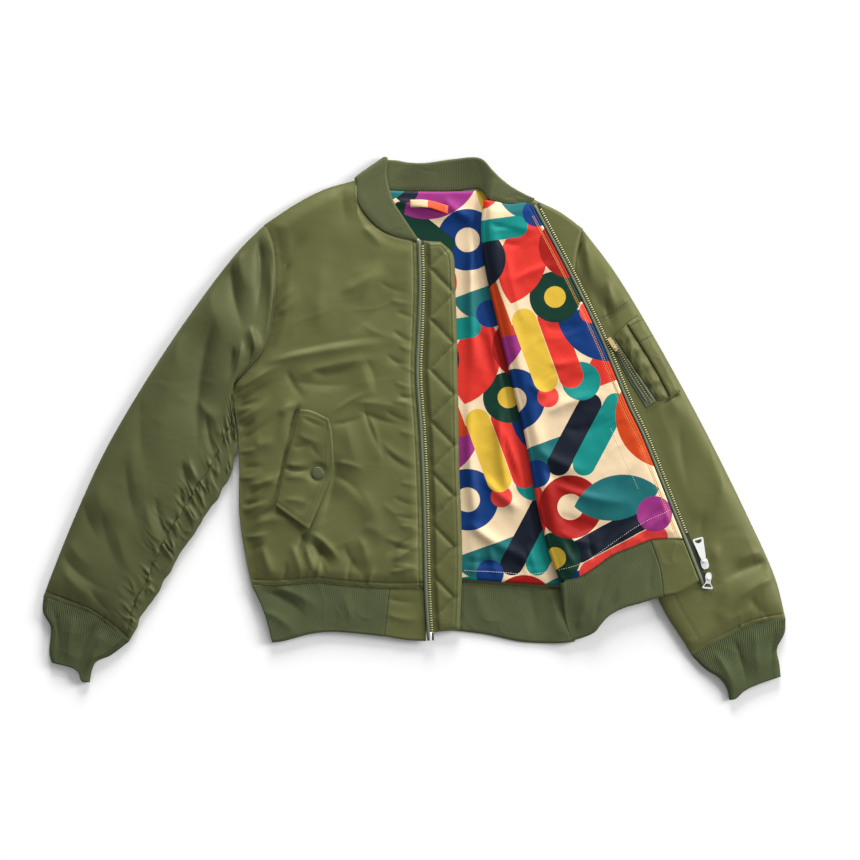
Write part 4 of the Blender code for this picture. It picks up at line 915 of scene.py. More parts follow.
def front_high(u, v):
    """The right front's face: wadding between its seams, creases, gathers and stitched lines."""
    plan = FRONT(u, v)
    x, y = plan.T
    shoulder = 8.2 + 2.6 * ease((u - 0.42) / 0.16)
    rims = [("start", 8.0, 28), ("end", 10.9, 15), ("foot", 9.6, 20), ("top", shoulder, 22)]
    z = pillow(FRONT, u, v, FRONT_FULL, rims)
    side, zipped, hem, top = (edge_reach(FRONT, u, v, edge) for edge, _, _ in rims)
    inside = ease(np.min([side, zipped, hem, top], axis=0) / 12)
    z += creases(FRONT_CREASES, x, y) * (0.3 + 0.7 * inside)
    z += creases(ZIP_PULLS, x, y) * ease(zipped / 5) * 0.8
    z += (2.3 * uneven(x, y, 96, 20) + 0.9 * uneven(x, y, 47, 21) + 0.4 * uneven(x, y, 19, 22)) * inside
    z += 0.7 * wrinkles(x, y, 12, 70, 24, 24) * inside
    # The hem's band lies between two rows of stitches, and its gathers run up from it.
    z += 2.1 * ripples(x, y, 84, 24, 8, 31) * np.exp(-hem / 15) * ease((hem - 5) / 5)
    z += 0.8 * ripples(x, y, 68, 8, 6, 32) * ease(hem / 1.5) * ease((7 - hem) / 2)
    z += 1.3 * ripples(x, y, 4, 20, 11, 33) * np.exp(-side / 11) * ease(side / 2)
    z += 0.9 * ripples(x, y, 60, 16, 10, 35) * np.exp(-top / 11) * ease((top - 3) / 3)
    z += 0.9 * ripples(x, y, -14, 14, 8, 37) * np.exp(-zipped / 7) * ease(zipped / 2)
    z += 0.4 * ripples(x, y, 35, 7, 5, 38) * ease(zipped) * ease((6 - zipped) / 2)
    z += groove(zipped, 6.0, 1.0, 1.3) + groove(hem, 1.2, 0.8, 0.5) + groove(hem, 7.0, 1.2, 1.3)
    at_neck = ease((u - NECK_AT) / 0.02)
    z += groove(top, 3.2, 0.9, 0.9) * at_neck + 0.6 * groove(side, 3.0, 1.0, 1.0) * ease((y - 60) / 20)
    # The wadding is pressed thin round the pocket's snap.
    snap = np.hypot(x - SNAP_AT[0], y - SNAP_AT[1])
    z = np.minimum(z, SNAP_FOOT - 2.6 + 6 * ease((snap - 6) / 26))
    return joined(plan, np.maximum(z, 7.4))


def front_low(u, v):
    """The right front's underside, a little lower beside the side seam."""
    side = 1.4 * (1 - ease(edge_reach(FRONT, u, v, "start") / 16))
    return joined(FRONT(u, v), FRONT_Z - side)


ENDS = ((0.0, 0.02), (0.98, 1.0))  # where a row of stitches runs out over a piece's rounded corner


def make_right_front():
    """The right front with its rows of stitches. Returns its height at places."""
    columns = stretches((0, NECK_AT, 2.2, 118), (NECK_AT, 1, 2.2, 118))
    columns = finer(finer(columns, 1, 10, 0.9, 226), 0, 6, 1.0, 226)
    rows = finer(finer(body_rows(2.2), 0, 10, 0.9, 485), 1, 6, 1.0, 485)
    node = "front_right_shell"
    ground = dropper(wall("front_right_cloth", columns, rows, front_low, front_high, SHELL, node))
    hem = smooth(HEM_RIGHT)
    rows_of_stitches = {
        "zip": offset(CENTRE, -6.0),
        "hem_lower": offset(hem, -1.6),
        "hem_upper": offset(hem, -7.0),
        "neck": offset(smooth(NECK_RIGHT), 3.2),
        "armhole": offset(smooth(ARMHOLE_RIGHT), 3.0),
    }
    for seam, line in rows_of_stitches.items():
        stitches(f"front_right_{seam}_stitches", line, 3.2, ground, THREAD, sink=0.05, gaps=ENDS)
    return ground


POCKET_FLAP = panel(
    [(-178, -100), (-156, -116), (-135, -131)],
    [(-146, 26), (-132, 24), (-109, 13)],
    [(-178, -100), (-164, -39), (-146, 26)],
    [(-135, -131), (-104, -56), (-103, -40), (-105, -5), (-109, 13)],
)


def laid_on(surface, ground, lift, thick, relief):
    """The two faces of a piece that lies on the cloth under it, smoothed over its small folds."""

    def base(u, v):
        plan = surface(u, v)
        around = [plan + np.array(step) for step in ((0, 0), (7, 0), (-7, 0), (0, 7), (0, -7))]
        return plan, np.mean([ground(spot) for spot in around], axis=0)

    raised = lift if callable(lift) else lambda u, v: lift

    def low(u, v):
        plan, z = base(u, v)
        return joined(plan, z + raised(u, v))

    def high(u, v):
        plan, z = base(u, v)
        return joined(plan, z + raised(u, v) + thick + relief(u, v))

    return low, high


FLAP_CREASES = table(
    CREASE,
    (-167, -52, -130, -51, 2, 3.5, 2.5, -1.9),
    (-164, -45, -134, -44, 3, 5, 5, 1.1),
    (-166, -63, -130, -66, -2, 6, 5, 0.9),
    (-150, -6, -112, -20, 2, 7, 6, 0.9),
    (-156, -24, -128, -14, 2, 4, 5, -0.9),
    (-132, -20, -116, -40, 2, 4, 5, -0.7),
    (-168, -92, -130, -100, -3, 5, 6, 0.9),
    (-152, -112, -122, -84, -2, 5, 5, -0.8),
    (-144, 16, -114, 2, 1, 3, 4, -0.8),
)


def make_pocket(front):
    """The slanted flap over the hand pocket, with its edges stitched twice."""

    def relief(u, v):
        x, y = POCKET_FLAP(u, v).T
        free = np.min([edge_reach(POCKET_FLAP, u, v, e) for e in ("end", "foot", "top")], axis=0)
        seam = edge_reach(POCKET_FLAP, u, v, "start")
        z = 1.1 * ease(free / 4) + groove(free, 5.5, 1.1, 0.9) + 1.1 * ease(seam / 7)
        snap = np.hypot(x - SNAP_AT[0], y - SNAP_AT[1])
        z = z - 1.0 * np.exp(-(snap / 13) ** 2) + 0.4 * uneven(x, y, 16, 41)
        z += 0.6 * ripples(x, y, -20, 9, 6, 42) * np.exp(-free / 5)
        return np.maximum(z + creases(FLAP_CREASES, x, y) * ease(free / 6), 0)

    def lift(u, v):
        """The flap's foot and front edge stand a little off the pocket."""
        foot = 2.2 * np.exp(-edge_reach(POCKET_FLAP, u, v, "foot") / 12)
        return 0.4 + foot + 1.2 * np.exp(-edge_reach(POCKET_FLAP, u, v, "end") / 8)

    def pressed(face, foot):
        """The face, pressed down to the foot of the snap round it."""

        def at(u, v):
            place = face(u, v)
            away = np.hypot(place[:, 0] - SNAP_AT[0], place[:, 1] - SNAP_AT[1])
            near = 1 - ease((away - 8.5) / 7)
            place[:, 2] += near * (np.minimum(place[:, 2], foot) - place[:, 2])
            return place

        return at

    low, high = laid_on(POCKET_FLAP, front, lift, 1.8, relief)
    low, high = pressed(low, SNAP_FOOT - 1.7), pressed(high, SNAP_FOOT + 0.1)
    columns, rows, node = spread(0, 1, 1.8, 42), spread(0, 1, 1.8, 130), "pocket_flap_right"
    ground = dropper(wall("pocket_flap_cloth", columns, rows, low, high, SHELL_TRIM, node))
    for inset, number in ((4.2, 1), (6.8, 2)):
        inner = inset / 42
        edge = [(1 - inner, v) for v in np.linspace(inner * 0.45, 1 - inner * 0.4, 14)]
        foot = [(u, inner * 0.45) for u in np.linspace(0.06, 1 - inner, 6)]
        line = smooth([POCKET_FLAP(np.array(u), np.array(v)) for u, v in foot + edge])
        stitches(f"pocket_flap_stitches_{number}", line, 3.2, ground, THREAD)


# ---------------------------------------------------------------- front closure, right side

ZIP_RIGHT_WIDTH = 9.0
STORM_EDGE = [
    (61, -261), (64, -169), (60.5, -52), (58.5, 48), (57, 130), (54.5, 190), (52, 227), (36, 243.5),
]
ZIP_LINE = smooth([(18, -275), (14.3, -207), *CENTRE_RIGHT[1:]])
TOOTH_PITCH = 3.1
QUILT_PITCH, QUILT_AT = 66.0, 177.0
QUILT_FROM, QUILT_TO = 21.0, 53.0


def hidden_edge(t):
    """The storm flap's edge under the zip."""
    return offset(ZIP_LINE, 5.0)(0.02 + 0.98 * t)


STORM = patch(
    smooth([hidden_edge(0.0), (40, -263), (61, -261)]),
    smooth([hidden_edge(1.0), (24, 244), (36, 243.5)]),
    hidden_edge,
    smooth(STORM_EDGE),
)


def zigzag(y):
    """The quilting line's place across the storm flap."""
    phase = (y - QUILT_AT) / QUILT_PITCH % 1
    return QUILT_FROM + (QUILT_TO - QUILT_FROM) * np.abs(1 - 2 * phase)


def tape_profile(off):
    """The tape's height over its width: a corded edge, then a flat strip that carries the teeth."""
    return 1.7 * np.sqrt(np.maximum(1 - ((off - 2.7) / 1.9) ** 2, 0))


def make_tape(name, curve, side, width, level):
    """A zip tape beside a line, on its right (1) or left (-1), with a corded edge."""
    long = measure(curve)

    def low(u, v):
        return joined(offset(curve, lambda t: side * (0.3 + u * width))(v), level)

    def high(u, v):
        return low(u, v) + (0, 0, 1) * (TAPE_WALL + tape_profile(0.3 + u * width))[:, None]

    def cloth(u, v):
        return np.stack([u * width, v * long], -1)

    columns, rows = np.linspace(0, 1, 17), spread(0, 1, 5, long)
    wall(name, columns, rows, low, high, TAPE, uv=cloth)


def tooth():
    """A zip tooth about its middle, with its head along Y."""
    bm = bmesh.new()
    bmesh.ops.create_cube(bm, size=1.0, matrix=Matrix.Diagonal((1.5 * MM, 3.6 * MM, 2.0 * MM, 1)))
    bmesh.ops.bevel(bm, geom=bm.edges[:], offset=0.3 * MM, segments=1, profile=0.5, affect="EDGES")
    return bm


def make_teeth(name, curve, side, off, level, low=0.0, high=1.0, finish=TEETH):
    """Teeth along a line, standing on the tape beside it."""
    length = measure(curve)
    rail = offset(curve, side * off)
    t = np.arange(low, high, TOOTH_PITCH / length)
    spots, ahead = rail(t), rail(np.minimum(t + 0.002, 1)) - rail(np.maximum(t - 0.002, 0))
    places = []
    for spot, along in zip(spots, ahead):
        turn = Matrix.Rotation(np.arctan2(along[1], along[0]), 4, "Z")
        middle = Vector((*(spot - TABLES_MIDDLE[:2]), level))
        places.append(Matrix.Translation(middle * MM) @ turn)
    return copies(name, tooth(), places, finish)


def make_closure():
    """Quilted storm flap, tape and teeth beside the right front's edge."""

    def storm_relief(u, v):
        x, y = STORM(u, v).T
        rims = [("end", 0.4, 6), ("foot", 0.6, 6), ("top", 0.4, 6)]
        z = pillow(STORM, u, v, 5.4, rims)
        gap = np.abs(x - zigzag(y)) * 0.72
        z -= 3.0 * np.exp(-np.abs(gap / 3.3) ** 1.2) * ease((y + 262) / 10)
        rim = np.min([edge_reach(STORM, u, v, edge) for edge, _, _ in rims], axis=0)
        z -= 0.9 * np.exp(-((rim - 6.5) / 1.5) ** 2)
        z += 0.4 * uneven(x, y, 14, 51) * ease(rim / 7)
        z += 0.7 * ripples(x, y, 50, 9, 6, 52) * np.exp(-gap / 6) * ease(rim / 5)
        z += 0.4 * ripples(x, y, 10, 6, 6, 53) * np.exp(-rim / 7)
        hidden = ease((x - ZIP_LINE(v)[:, 0] - 12) / 6)
        return 0.6 + (np.maximum(z, 0) - 0.6) * hidden

    def high(u, v):
        return joined(STORM(u, v), FRONT_Z + CLOTH + storm_relief(u, v))

    def low(u, v):
        return joined(STORM(u, v), FRONT_Z)

    columns, rows = spread(0, 1, 1.5, 50), spread(0, 1, 1.8, 505)
    ground = dropper(wall("storm_flap_cloth", columns, rows, low, high, SHELL_TRIM))
    turns = [(k, QUILT_AT + QUILT_PITCH / 2 * (6 - k)) for k in range(-1, 14)]
    quilt = [(QUILT_FROM if k % 2 else QUILT_TO, y) for k, y in turns if -262 < y < 236]
    for k, (one, two) in enumerate(zip(quilt, quilt[1:])):
        stitches(f"storm_quilting_{k:02d}", smooth([one, two]), 3.0, ground, THREAD, sink=0.2)
    rim = [(0.87, v) for v in np.linspace(0.012, 0.965, 20)] + [(u, 0.987) for u in (0.8, 0.55, 0.3)]
    rim = smooth([STORM(np.array(u), np.array(v)) for u, v in rim])
    stitches("storm_edge_stitches", rim, 3.0, ground, THREAD, sink=0.15)
    make_tape("zip_tape_right_cloth", ZIP_LINE, 1, ZIP_RIGHT_WIDTH, TAPE_RIGHT_Z)
    make_teeth("zip_teeth_right", ZIP_LINE, 1, 7.3, TAPE_RIGHT_Z + TAPE_WALL + 0.7, 0.02, 0.985)


# ---------------------------------------------------------------- left front, turned over

LINING_LIP = 14.0
BINDING_AT = 5.6  # the lining's double stitched line, from its edge beside the zip
ZIP_EDGE_LEFT = smooth(ZIP_LEFT)
SHELL_EDGE_LEFT = offset(ZIP_EDGE_LEFT, -ZIP_LEFT_WIDTH)
ZIP_EDGE_LEFT_INNER = offset(ZIP_EDGE_LEFT, -ZIP_LEFT_WIDTH + 0.4)
SHELL_HEM_AT = 0.125
SLIDER_SHARE = 0.1


class Turn:
    """The round of a fold: lower and upper level of a wall's outside, about a shared fold line."""

    def __init__(self, line, low, high):
        self.line, self.low, self.high = line, low, high

    def inward(self, v):
        """The direction from the fold line to the cloth behind it."""
        along = self.line(np.minimum(v + 0.01, 1)) - self.line(np.maximum(v - 0.01, 0))
        along = along / np.linalg.norm(along, axis=-1)[..., None]
        return np.stack([along[..., 1], -along[..., 0]], -1)

    def radius(self, v):
        return (self.high(v) - self.low(v)) / 2

    def centre(self, v):
        v = np.asarray(v, float)
        return self.line(v) + self.inward(v) * self.radius(v)[..., None]

    def at(self, f, v, depth):
        """A point of the round, from its underside at f = 0 to its top at f = 1."""
        far = self.radius(v) - depth
        angle = (f - 0.5) * pi
        out = self.centre(v) - self.inward(v) * (far * np.cos(angle))[:, None]
        return joined(out, (self.low(v) + self.high(v)) / 2 + far * np.sin(angle))


def level(z):
    """A level that is the same at each v."""
    return lambda v: np.full_like(np.asarray(v, float), z)


LINING_FOLD = smooth(FOLD)
SHELL_FOLD = offset(LINING_FOLD, LINING_WALL + GAP)
LEFT_TURN = Turn(SHELL_FOLD, level(STRIP_Z), level(TURNED_Z + TURNED_WALL))
LINING_TURN = Turn(LINING_FOLD, level(FRONT_Z), level(TURNED_LINING_Z + LINING_WALL))
TURNED_SEAM = smooth([LEFT_TURN.centre(0.0), *TURNED_HEM, SHELL_EDGE_LEFT(SHELL_HEM_AT)])
TURNED_TOP = smooth([LEFT_TURN.centre(1.0), *TURNED_NECK, SHELL_EDGE_LEFT(1.0)])
TURNED_CREASES = table(
    CREASE,
    (100, 266, 152, 262, 4, 4, 7, -2.0),
    (104, 256, 166, 256, -4, 6, 5, 1.7),
    (108, 244, 150, 240, 3, 5, 6, -1.1),
    (128, 190, 196, 214, -5, 6, 8, 1.3),
    (120, 240, 152, 120, 6, 10, 12, 1.3),
    (170, 132, 226, 138, 4, 7, 8, -1.4),
    (176, 84, 228, 96, 4, 6, 9, 1.3),
    (150, 60, 186, 40, 4, 9, 9, 1.7),
    (158, 30, 246, 74, -6, 7, 9, -1.7),
    (176, 20, 250, 44, -6, 8, 7, 1.9),
    (196, 0, 262, 12, 5, 6, 8, -1.4),
    (162, -26, 232, -54, 6, 8, 10, 2.1),
    (168, -52, 250, -84, 6, 7, 8, -2.2),
    (182, -70, 288, -96, 6, 9, 8, 2.0),
    (300, -20, 262, -74, -4, 7, 8, 1.4),
    (186, -110, 262, -128, 7, 7, 9, -2.3),
    (190, -132, 244, -150, 5, 7, 6, 2.2),
    (205, -160, 250, -120, -4, 5, 6, 1.7),
    (240, -156, 286, -112, -3, 5, 6, -1.7),
    (268, -146, 312, -112, -3, 5, 6, 1.6),
    (288, -140, 322, -100, -2, 4, 5, -1.4),
    (300, -136, 336, -104, -2, 5, 6, 1.4),
    (210, -176, 190, -130, -4, 5, 7, 1.7),
    (236, -170, 226, -132, -2, 4, 5, -1.4),
    (330, -124, 318, -84, 4, 6, 6, 1.1),
)


def turned_panel(turn):
    """The upper half of the turned front, from the round's centre to the zip."""
    edge = lambda v: SHELL_EDGE_LEFT(SHELL_HEM_AT + (1 - SHELL_HEM_AT) * np.asarray(v, float))
    return patch(TURNED_SEAM, TURNED_TOP, turn.centre, edge)


def folded_wall(name, turn, under, over, legs, rows, thick, finish, relief, **looks):
    """A C of cloth: under panel, round and upper panel, from column -1 through 0..1 to 2.

    The upper panel's outside lies at the round's top plus relief(u, v)."""

    def place(u, v, depth):
        below, above = u < 0, u > 1
        result = turn.at(np.clip(u, 0, 1), v, depth)
        if below.any():
            result[below] = joined(under(-u[below], v[below]), turn.low(v[below]) + depth[below])
        if above.any():
            top = turn.high(v[above]) - depth[above] + relief(u[above] - 1, v[above])
            result[above] = joined(over(u[above] - 1, v[above]), top)
        return result

    def outside(u, v):
        return place(u, v, np.zeros_like(u))

    def inside(u, v):
        return place(u, v, np.full_like(u, thick))

    return wall(name, legs, rows, inside, outside, finish, **looks)


def make_left_front():
    """The shell of the left front, folded over, and round it the lining that faces up."""
    start = LEFT_TURN.centre
    neck_point = (100, 320)
    top = end_to_end(smooth([start(1.0), neck_point]), smooth([neck_point, *SHOULDER_LEFT[1:]]), 0.2)
    strip = patch(smooth([start(0.0), (214, -202), (238, -206)]), top, start, SIDE_EDGE_LEFT)
    over = turned_panel(LEFT_TURN)
    legs = stretches((-1, 0, 4, 110), (0, 1, 1.2, 7), (1, 2, 5, 170))

    def sunk(u, v):
        rims = [("end", -1.2, 12), ("foot", -1.2, 14), ("top", -1.2, 14)]
        return pillow(over, u, v, 0.0, rims)

    folded_wall(
        "front_left_cloth", LEFT_TURN, strip, over, legs, body_rows(5), CLOTH, SHELL, sunk,
        node="front_left_shell",
    )
    start = LINING_TURN.centre
    edge = offset(start, LINING_LIP)
    lip = patch(smooth([start(0.0), edge(0.0)]), smooth([start(1.0), edge(1.0)]), start, edge)
    over = turned_panel(LINING_TURN)

    def relief(u, v):
        x, y = over(u, v).T
        rims = [("end", -0.6, 12), ("foot", -0.9, 12), ("top", -0.9, 12)]
        z = pillow(over, u, v, 1.6, rims) * ease(u * 14)
        rim = np.min([edge_reach(over, u, v, edge) for edge, _, _ in rims], axis=0)
        folds = 1.15 * creases(TURNED_CREASES, x, y) + 0.9 * uneven(x, y, 36, 61)
        folds += 0.35 * uneven(x, y, 12, 62) + 0.8 * wrinkles(x, y, 24, 50, 16, 64)
        z = z + folds * ease(rim / 10) * ease(u * 9)
        # Beside its fold the cloth stands up in a round roll.
        folded = edge_reach(over, u, v, "start")
        z += (2.8 + 1.0 * uneven(y, x * 0.2, 46, 66)) * np.exp(-(((folded - 10) / 9) ** 2)) * ease(rim / 14)
        z = np.where(z > 5, 5 + 5.4 * np.tanh((z - 5) / 5.4), z)
        zipped = edge_reach(over, u, v, "end")
        z += groove(zipped, BINDING_AT, 1.4, 0.9) + 0.6 * np.exp(-(((zipped - 3.0) / 2.0) ** 2))
        z += 0.9 * ripples(x, y, 20, 9, 7, 63) * np.exp(-zipped / 7)
        hem = edge_reach(over, u, v, "foot")
        z += 1.7 * ripples(x, y, 70, 20, 9, 65) * np.exp(-hem / 13)
        return np.maximum(z, -0.9)

    def cloth(u, v):
        """The lining's own coordinates: its plan, laid out on round the fold."""
        plan = over(np.clip(u - 1, 0, 1), v)
        return plan - np.stack([np.clip(1 - u, 0, 2) * 16, 0 * u], -1)

    legs = stretches((-1, 0, 4, 14), (0, 1, 1.3, 17), (1, 2, 2.8, 180))
    lining = folded_wall(
        "front_left_lining_cloth", LINING_TURN, lip, over, legs, body_rows(2.8), 0.8, LINING_FRONT,
        relief, uv=cloth,
    )
    ground = dropper(lining)
    edge = smooth(over(np.full(40, 1.0), np.linspace(0.02, 0.975, 40)))
    for number, inset in ((1, BINDING_AT - 1.1), (2, BINDING_AT + 1.1)):
        seam = offset(edge, -inset)
        stitches(f"binding_stitches_{number}", seam, 2.9, ground, THREAD_ORANGE, long=2.7, thick=1.0)
    facing = smooth([(333, -105), (290, -126), (257, -149), (221, -173), (188, -183)])
    stitches("facing_stitches", facing, 3.1, ground, THREAD_PALE)
    stitches("pocket_stitches", smooth([(256, 1), (276, -44), (292, -78)]), 3.1, ground, THREAD_PALE)


def make_left_zip():
    """The left tape, with its teeth from the sliders up."""
    line, tape_z, from_sliders = ZIP_EDGE_LEFT_INNER, TURNED_Z + 0.4, SLIDER_SHARE + 0.035
    teeth_z = tape_z + TAPE_WALL + 0.7
    make_tape("zip_tape_left_cloth", line, 1, ZIP_LEFT_WIDTH - 0.9, tape_z)
    make_teeth("zip_teeth_left", line, 1, ZIP_LEFT_WIDTH - 3.1, teeth_z, from_sliders, 0.985)


# ---------------------------------------------------------------- sleeves and cuffs

RIM_OUT = 22.0
RIM_IN = {"right": 15.0, "left": 18.0}  # how wide the sleeve rounds down to its inner edge
UNDER_SEAM = 26.0  # the underside's seam, from the sleeve's outer edge
CROWN = {"right": 4.4, "left": 2.6}  # how far the wadding lifts the middle of a sleeve
RUCHE = {"right": 4.6, "left": 1.2}  # how high the gathered seam's folds stand
GATHERED = {"right": 7.5, "left": 1.2}  # how far the gathered inner edge waves to and fro
CREASES_RIGHT = table(
    CREASE,
    # beside the armhole
    (-201, 250, -206, 134, -5, 12, 9, -4.6),
    (-186, 222, -192, 96, -4, 7, 6, 1.7),
    (-226, 236, -212, 176, 5, 10, 12, 1.9),
    (-234, 222, -216, 120, 7, 13, 12, -4.0),
    (-212, 132, -206, 92, -3, 6, 7, 3.0),
    (-208, 112, -226, 66, -3, 5, 7, -1.7),
    (-222, 116, -238, 62, -4, 5, 6, 2.0),
    (-234, 106, -242, 62, -4, 5, 7, -2.2),
    (-268, 200, -240, 110, 6, 18, 20, 1.7),
    # down the sleeve
    (-306, 128, -300, 60, 4, 16, 16, 1.4),
    (-306, 88, -326, -62, 8, 26, 22, 1.4),
    (-258, 140, -278, -40, 10, 15, 20, -4.6),
    (-352, 46, -342, -64, 7, 14, 17, -1.1),
    (-362, -8, -350, -108, 7, 14, 14, 1.0),
    (-372, -40, -352, -136, 6, 12, 12, -1.3),
    (-414, -62, -380, -142, 6, 19, 18, 0.9),
    (-384, -130, -352, -204, 6, 14, 12, 1.1),
    (-404, -104, -372, -190, 8, 14, 13, -1.1),
    (-346, -96, -322, -160, 5, 10, 9, 1.2),
    (-334, -88, -314, -150, 4, 7, 8, -1.3),
    (-430, -90, -404, -150, 4, 12, 12, -1.4),
    (-460, -158, -384, -214, 9, 13, 12, -1.5),
    (-456, -180, -398, -222, 8, 13, 11, 1.4),
    (-448, -146, -412, -180, 4, 11, 11, 1.0),
    (-420, -206, -384, -246, 4, 9, 9, -1.2),
    # small folds that the gathered seam draws in
    (-298, -42, -286, -84, 3, 5, 8, -1.8),
    (-290, -40, -276, -72, 2, 4, 6, 1.5),
    (-302, -76, -290, -106, 3, 5, 6, -1.6),
    (-280, 40, -246, 8, 5, 9, 9, 1.4),
    (-268, 20, -252, -46, 4, 6, 6, -1.6),
)
CREASES_LEFT = table(
    CREASE,
    (217, 252, 221, 192, 3, 5, 6, -4.0),
    (226, 246, 236, 176, 4, 8, 10, 1.9),
    (232, 180, 256, 146, 3, 8, 6, -2.0),
    (250, 166, 262, 128, 3, 6, 5, -2.0),
    (252, 196, 268, 150, 3, 8, 8, 1.5),
    (404, 10, 388, -136, -6, 15, 16, 2.0),
    (346, 6, 366, -104, 4, 18, 16, -1.6),
    (426, -50, 446, -140, 4, 12, 13, -1.2),
    (378, -110, 372, -190, 4, 10, 12, -1.3),
    (462, -172, 394, -206, 6, 9, 15, -3.4),
    (474, -190, 412, -232, 5, 8, 12, 2.2),
    (452, -158, 420, -176, 2, 8, 7, 1.2),
    (352, -214, 396, -232, -4, 7, 8, -1.7),
    (360, -232, 412, -250, -4, 8, 7, 1.6),
    (398, -150, 352, -196, -4, 9, 10, 1.4),
    (436, -216, 462, -246, 2, 8, 8, -1.2),
    (330, 60, 352, 10, 4, 9, 12, 1.3),
    (236, 136, 300, 175, 1, 3.0, 3.0, -0.5),
    (243, 152, 292, 181, 1, 5, 5, 0.6),
    (346, 46, 322, 28, 3, 4, 6, -1.9),
    (340, -222, 352, -262, 2, 4, 5, 1.4),
)
UNDERSIDE_RIGHT = table(
    CREASE,
    (-225, 190, -250, 60, 6, 8, 9, 2.6),
    (-290, 110, -258, 0, 8, 9, 9, 2.4),
    (-350, 20, -290, -80, -8, 8, 10, 2.2),
    (-400, -60, -330, -150, 8, 9, 9, 2.6),
    (-440, -150, -370, -200, -6, 8, 8, 2.8),
    (-460, -200, -390, -250, 5, 6, 8, 2.4),
)
UNDERSIDE_LEFT = table(
    CREASE,
    (250, 190, 270, 60, -6, 8, 9, 2.6),
    (330, 60, 285, -30, 8, 9, 9, 2.2),
    (380, -30, 310, -110, -8, 8, 10, 2.4),
    (430, -130, 340, -190, 8, 9, 9, 2.6),
    (460, -200, 370, -250, -6, 8, 8, 2.6),
)


def sleeve_surface(armhole, cuff_seam, inner, outer):
    """Straight rows from the inner to the outer edge, bent to the armhole at one end and to the
    cuff's seam at the other."""

    def at(u, v):
        u, v = np.asarray(u, float), np.asarray(v, float)
        reach = 0.03 + 0.15 * ease(u / 0.35)
        near = (np.maximum(0, 1 - v / reach) ** 2)[..., None]
        row = inner(v) * (1 - u[..., None]) + outer(v) * u[..., None]
        return row + bulge(armhole, u) * near + bulge(cuff_seam, u) * v[..., None] ** 3

    return at


class Tube:
    """A flattened tube of cloth. Its column w runs 0 to 1 along the underside from the inner edge,
    1 to 2 round the outer edge, 2 to 3 back over the top and 3 to 4 round the inner edge."""

    def __init__(self, surface, low, high, rim_in, rim_out, top, under=None):
        self.surface, self.low, self.high, self.top, self.under = surface, low, high, top, under
        self.rim_in, self.rim_out = rim_in, rim_out

    def span(self, v):
        zero = np.zeros_like(v)
        return np.linalg.norm(self.surface(zero + 1, v) - self.surface(zero, v), axis=-1)

    def column(self, distance, v):
        """The column on the top at a distance from the inner edge."""
        flat = self.span(v) - self.rim_out(v) - self.rim_in(v)
        return 3 - np.maximum(distance - self.rim_in(v), 0) / flat

    def below(self, distance, v):
        """The column on the underside at a distance from the outer edge."""
        flat = self.span(v) - self.rim_out(v) - self.rim_in(v)
        return 1 - (distance - self.rim_out(v)) / flat

    def place(self, w, v, depth):
        v = np.asarray(v, float)
        long, r_in, r_out = self.span(v), self.rim_in(v), self.rim_out(v)
        low, high = self.low(v), self.high(v)
        middle, half = (low + high) / 2, (high - low) / 2 - depth
        leg = np.minimum(np.floor(w).astype(int), 3)
        f = w - leg
        angle = (f - 0.5) * pi
        flat = long - r_in - r_out
        legs, inner_round = [leg == 0, leg == 1, leg == 2], r_in - (r_in - depth) * np.cos(angle)
        outer_round = long - r_out + (r_out - depth) * np.cos(angle)
        across = np.select(legs, [r_in + f * flat, outer_round, long - r_out - f * flat], inner_round)
        rise = np.select(legs, [-1.0 + 0 * f, np.sin(angle), 1.0 + 0 * f], -np.sin(angle))
        plan = self.surface(across / long, v)
        share = np.clip(across / long, 0, 1)
        z = middle + half * rise + self.top(plan, share, v, np.clip(rise, 0, 1))
        if self.under:
            z = z + self.under(plan, share, v) * np.clip(-rise, 0, 1) ** 1.5
        return joined(plan, z)


